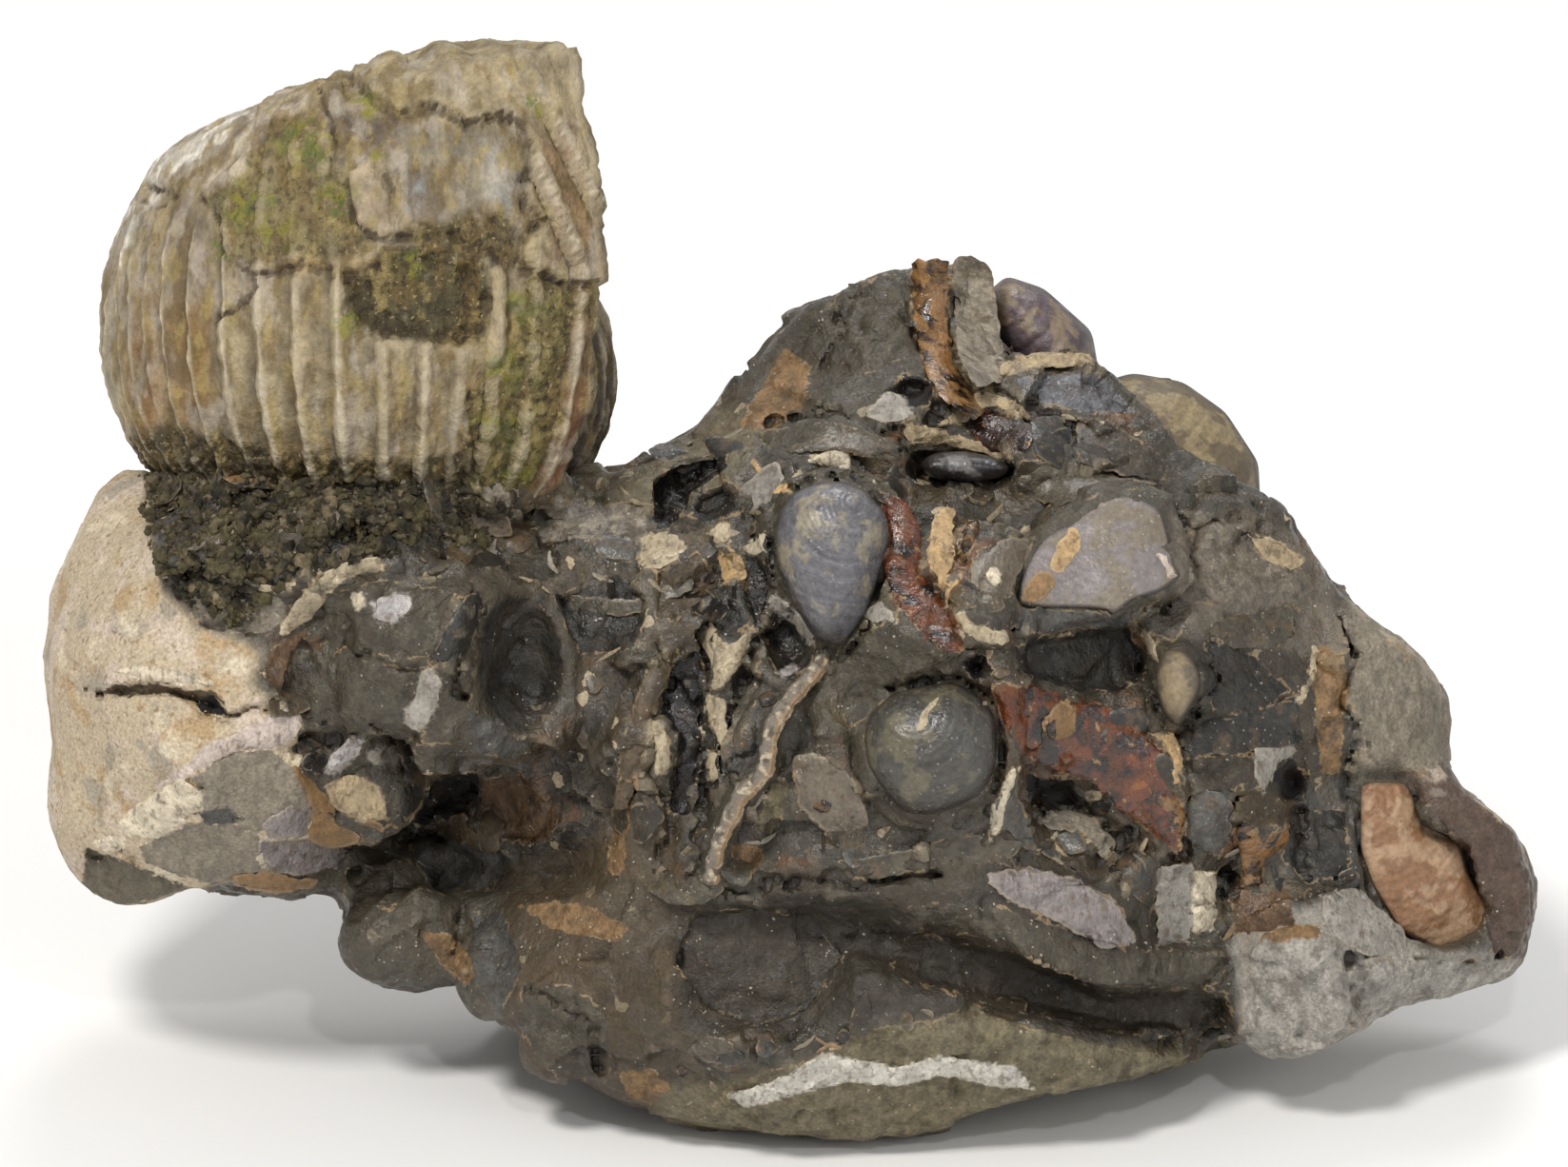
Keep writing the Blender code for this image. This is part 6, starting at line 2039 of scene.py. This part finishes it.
free = [index for index in rng.permutation(ready)[:3 * SLIVER_COUNT] if not near_drawn(skin[index, :2])]
for index in free[:SLIVER_COUNT]:
    turn = rng.normal(0.1, 0.7)
    outline = sliver_outline(skin[index, :2], rng.uniform(1.2, 3.4), rng.uniform(0.3, 0.5), turn,
                             rng.uniform(-0.5, 0.5))
    finish = rng.choice(["bone", "sand", "ochre", "ash", "warm grey"], p=[0.25, 0.2, 0.2, 0.15, 0.2])
    pale_heap.put(lay_flake(outline, 0.14, shift=index * 0.13, amount=0.06), finish, rng.uniform(0.5, 0.85))
print("slivers laid:", len(free[:SLIVER_COUNT]))

# %% [markdown]
# ## Crust under the ammonite
# Mud and moss have dried to a dark crumbly crust between the ammonite and the shelf
# below it. Small lumps of many sizes sit half sunk in the stone there, a few of them tan.

# %% Scatter the crust
CRUST_BAND = points_in("""
-510,90 -440,100 -330,96 -250,90 -216,60 -226,32 -280,26 -340,18 -386,4 -420,-30 -460,-26
 -494,14""")
CRUST_COUNT = 2100
crust_heap = Heap("crust_grains")
ball = bmesh.new()
bmesh.ops.create_icosphere(ball, subdivisions=2, radius=1.0)
ball.verts.ensure_lookup_table()
BALL_POINTS = np.array([v.co[:] for v in ball.verts])
BALL_FACES = np.array([[v.index for v in f.verts] for f in ball.faces])
ball.free()


def lay_grain(centre, size):
    """A small angular lump around a point of the face."""
    shape = BALL_POINTS * size * rng.uniform(0.6, 1.5, 3)
    shape += 0.7 * size * rough(shape / size, 0.9, 2, float(rng.uniform(0, 50)))[:, None] * BALL_POINTS
    return centre + shape, BALL_FACES, np.ones(len(BALL_POINTS))


low, high = np.min(CRUST_BAND, axis=0), np.max(CRUST_BAND, axis=0)
spots = rng.uniform(low, high, (4 * CRUST_COUNT, 2))
spots = spots[inside_distance(spots, CRUST_BAND) + rough(np.column_stack([spots, spots[:, 0]]), 3.0,
                                                         3) > 0][:CRUST_COUNT]
levels = stone_front(spots)
spots, levels = spots[levels > NO_STONE], levels[levels > NO_STONE]
for spot, level in zip(spots, levels):
    size = 0.14 + 0.5 * rng.uniform() ** 4
    finish = rng.choice(["moss", "soot", "dark umber", "olive", "umber", "sand"],
                        p=[0.3, 0.18, 0.22, 0.16, 0.08, 0.06])
    crust_heap.put(lay_grain(np.append(spot, level), size), finish, rng.uniform(0.6, 1.2))
print("crust grains:", len(spots))

# %% [markdown]
# ## Finishes for the heaps
# Dark flakes are smooth dark mud and shell with a fine painted sparkle. Pale flakes are layered
# shell with a lighter broken rim. The crystals are glassy and deep in colour, honey where
# thin and nearly black where thick.

# %% The flake materials
def dark_recipe():
    r = Recipe("dark flakes")
    cloud = r.noise(2.4, 4.0)
    colour = r.scaled(r.stored("tint", "Color"), r.ramp(cloud, 0.34, 0.66, 0.68, 1.36))
    brown = r.ramp(r.noise(1.6, 5.0, r.aside(4, 2, 7)), 0.52, 0.64, 0.0, 0.65)
    colour = r.blend(brown, colour, paint((86, 68, 48)))
    cells = r.bits(0.3, place=r.warped(0.4, 0.25))
    colour = r.scaled(colour, r.ramp(r.part(cells), 0.0, 1.0, 0.75, 1.25))
    # Painted sparkle: tiny pale highlights on the dark flakes.
    sparkle = r.ramp(r.part(r.bits(0.14), 1), 0.985, 0.992, 0.0, 0.45)
    colour = r.blend(sparkle, colour, paint((176, 170, 158)))
    edge = r.times(r.ramp(r.stored("rim"), 0.22, 0.06), r.ramp(r.noise(1.3, 2.0), 0.48, 0.6, 0.0, 0.75))
    colour = r.blend(edge, colour, paint((128, 112, 88)))
    rough_now = r.ramp(r.times(r.stored("gloss"), r.ramp(cloud, 0.3, 0.7, 0.6, 1.1)), 0.0, 1.0, 0.72, 0.14)
    height = r.sum("ADD", r.noise(0.4, 4.0), r.times(r.part(cells, 2), 0.35))
    normal = r.bump(r.noise(1.5, 3.0), 0.2, r.bump(height, 0.07))
    return r.finish(colour, rough_now, normal, Specular_IOR_Level=0.6)


def pale_recipe():
    r = Recipe("pale flakes")
    cloud = r.noise(1.7, 4.0)
    colour = r.scaled(r.stored("tint", "Color"), r.ramp(cloud, 0.3, 0.7, 0.74, 1.18))
    layers = r.noise(0.9, 4.0, r.vector("MULTIPLY", r.warped(2.0, 1.0), (2.2, 0.7, 1.0)))
    colour = r.blend(r.ramp(layers, 0.52, 0.66, 0.0, 0.55), colour, paint((96, 76, 54)))
    stain = r.ramp(r.noise(0.9, 4.0, r.aside(8, 3, 1)), 0.56, 0.66, 0.0, 0.5)
    colour = r.blend(stain, colour, paint((66, 56, 46)))
    edge = r.times(r.ramp(r.stored("rim"), 0.3, 0.08), 0.16)
    colour = r.blend(edge, colour, paint((200, 184, 152)))
    colour = r.scaled(colour, r.ramp(r.noise(0.3, 2.0), 0.3, 0.7, 0.85, 1.15))
    rough_now = r.ramp(r.stored("gloss"), 0.0, 1.0, 0.75, 0.22)
    normal = r.bump(r.noise(0.35, 3.0), 0.1, r.bump(layers, 0.16))
    return r.finish(colour, rough_now, normal, Specular_IOR_Level=0.5)


def glassy_recipe():
    r = Recipe("amber crystals")
    cells = r.bits(1.3, place=r.warped(1.2, 1.0))
    depth = r.sum("ADD", r.times(r.noise(1.6, 5.0), 1.0), r.times(r.part(cells), 0.25))
    colour = r.blend(r.ramp(depth, 0.46, 0.78), paint((24, 14, 10)), r.stored("tint", "Color"))
    colour = r.blend(r.ramp(depth, 0.8, 0.9, 0.0, 0.7), colour, paint((134, 82, 36)))
    veins = r.ramp(r.noise(1.1, 6.0, r.aside(2, 6, 4)), 0.61, 0.66, 0.0, 0.7)
    colour = r.blend(veins, colour, paint((158, 122, 74)))
    normal = r.bump(r.noise(0.6, 3.0), 0.22, r.bump(r.part(cells, 1), 0.5))
    rough_now = r.ramp(r.noise(0.9, 3.0), 0.35, 0.65, 0.1, 0.4)
    return r.finish(colour, rough_now, normal, Specular_IOR_Level=0.75)


def crust_recipe():
    r = Recipe("crust")
    patch = r.blend(r.ramp(r.noise(2.4, 5.0), 0.42, 0.56), paint((34, 31, 25)), paint((80, 72, 50)))
    patch = r.blend(r.ramp(r.noise(1.6, 4.0, r.aside(4, 8, 1)), 0.56, 0.66), patch, paint((112, 100, 78)))
    colour = r.blend(0.3, patch, r.stored("tint", "Color"))
    colour = r.scaled(colour, r.ramp(r.noise(0.4, 4.0), 0.3, 0.7, 0.6, 1.4))
    return r.finish(colour, 0.85, r.bump(r.noise(0.3, 4.0), 0.2), Specular_IOR_Level=0.3)


for heap, recipe in ((dark_heap, dark_recipe), (pale_heap, pale_recipe), (glassy_heap, glassy_recipe),
                     (crust_heap, crust_recipe)):
    mesh = heap.build()
    mesh.materials.append(recipe())
    add_piece(heap.name, mesh, "dark_stone")
print("heaps added: 4")

# %% [markdown]
# ## Floor, light and camera
# The stone stands on a pale floor. A large soft light hangs above to the left, as in the
# photo, and a weaker one fills the right. The camera looks down at the face squarely.

# %% Floor
floor_mesh = bpy.data.meshes.new("floor")
floor_mesh.from_pydata([(-4, -4, 0), (4, -4, 0), (4, 4, 0), (-4, 4, 0)], [], [(0, 1, 2, 3)])
floor = bpy.data.objects.new("floor", floor_mesh)
bpy.context.scene.collection.objects.link(floor)


def floor_recipe():
    r = Recipe("floor")
    colour = r.blend(r.noise(30.0, 2.0), paint((236, 236, 236)), paint((240, 240, 239)))
    return r.finish(colour, 0.7, r.bump(r.noise(2.0, 2.0), 0.02))


floor_mesh.materials.append(floor_recipe())
floor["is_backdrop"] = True
print("floor added")

# %% Light
world = bpy.data.worlds.new("studio")
world.use_nodes = True
world.node_tree.nodes["Background"].inputs["Color"].default_value = (1, 1, 1, 1)
world.node_tree.nodes["Background"].inputs["Strength"].default_value = 0.45
bpy.context.scene.world = world


def add_light(name, place, size, power, warmth=(1, 1, 1)):
    data = bpy.data.lights.new(name, "AREA")
    data.shape = "DISK"
    data.size = size
    data.energy = power
    data.color = warmth
    lamp = bpy.data.objects.new(name, data)
    bpy.context.scene.collection.objects.link(lamp)
    lamp.location = place
    lamp.rotation_euler = (Vector(MIDDLE / 1000) - Vector(place)).to_track_quat("-Z", "Y").to_euler()


add_light("key", (-0.3, -0.45, 0.8), 0.2, 6.0, (1.0, 0.97, 0.93))
add_light("fill", (0.7, -0.7, 0.45), 0.5, 1.6)
add_light("glint", (0.12, -0.75, 0.7), 0.05, 1.3)
add_light("back", (0.1, 0.6, 0.8), 0.4, 3.0)
print("lights added: 4")

# %% Camera
DISTANCE = 1.6
FRAME_WIDTH = 0.123525
camera_data = bpy.data.cameras.new("camera")
camera_data.sensor_width = 36.0
camera_data.lens = 36.0 * DISTANCE / FRAME_WIDTH
camera_data.clip_end = 20.0
camera = bpy.data.objects.new("camera", camera_data)
bpy.context.scene.collection.objects.link(camera)
away = Vector((0, -math.cos(LEAN), math.sin(LEAN)))
camera.location = Vector(MIDDLE / 1000) + away * DISTANCE
camera.rotation_euler = (-away).to_track_quat("-Z", "Y").to_euler()
bpy.context.scene.camera = camera
bpy.context.scene.view_settings.view_transform = "Standard"
print("camera at", [round(x, 2) for x in camera.location])

# %% Measure the sizes and finish
bpy.context.view_layer.update()
visual_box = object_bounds()
plain = {"solid": [list(map(float, row)) for row in solid_box],
         "visual": [list(map(float, row)) for row in visual_box]}
print("visual model in millimetres:", [[round(x * 1000, 1) for x in row] for row in plain["visual"]])
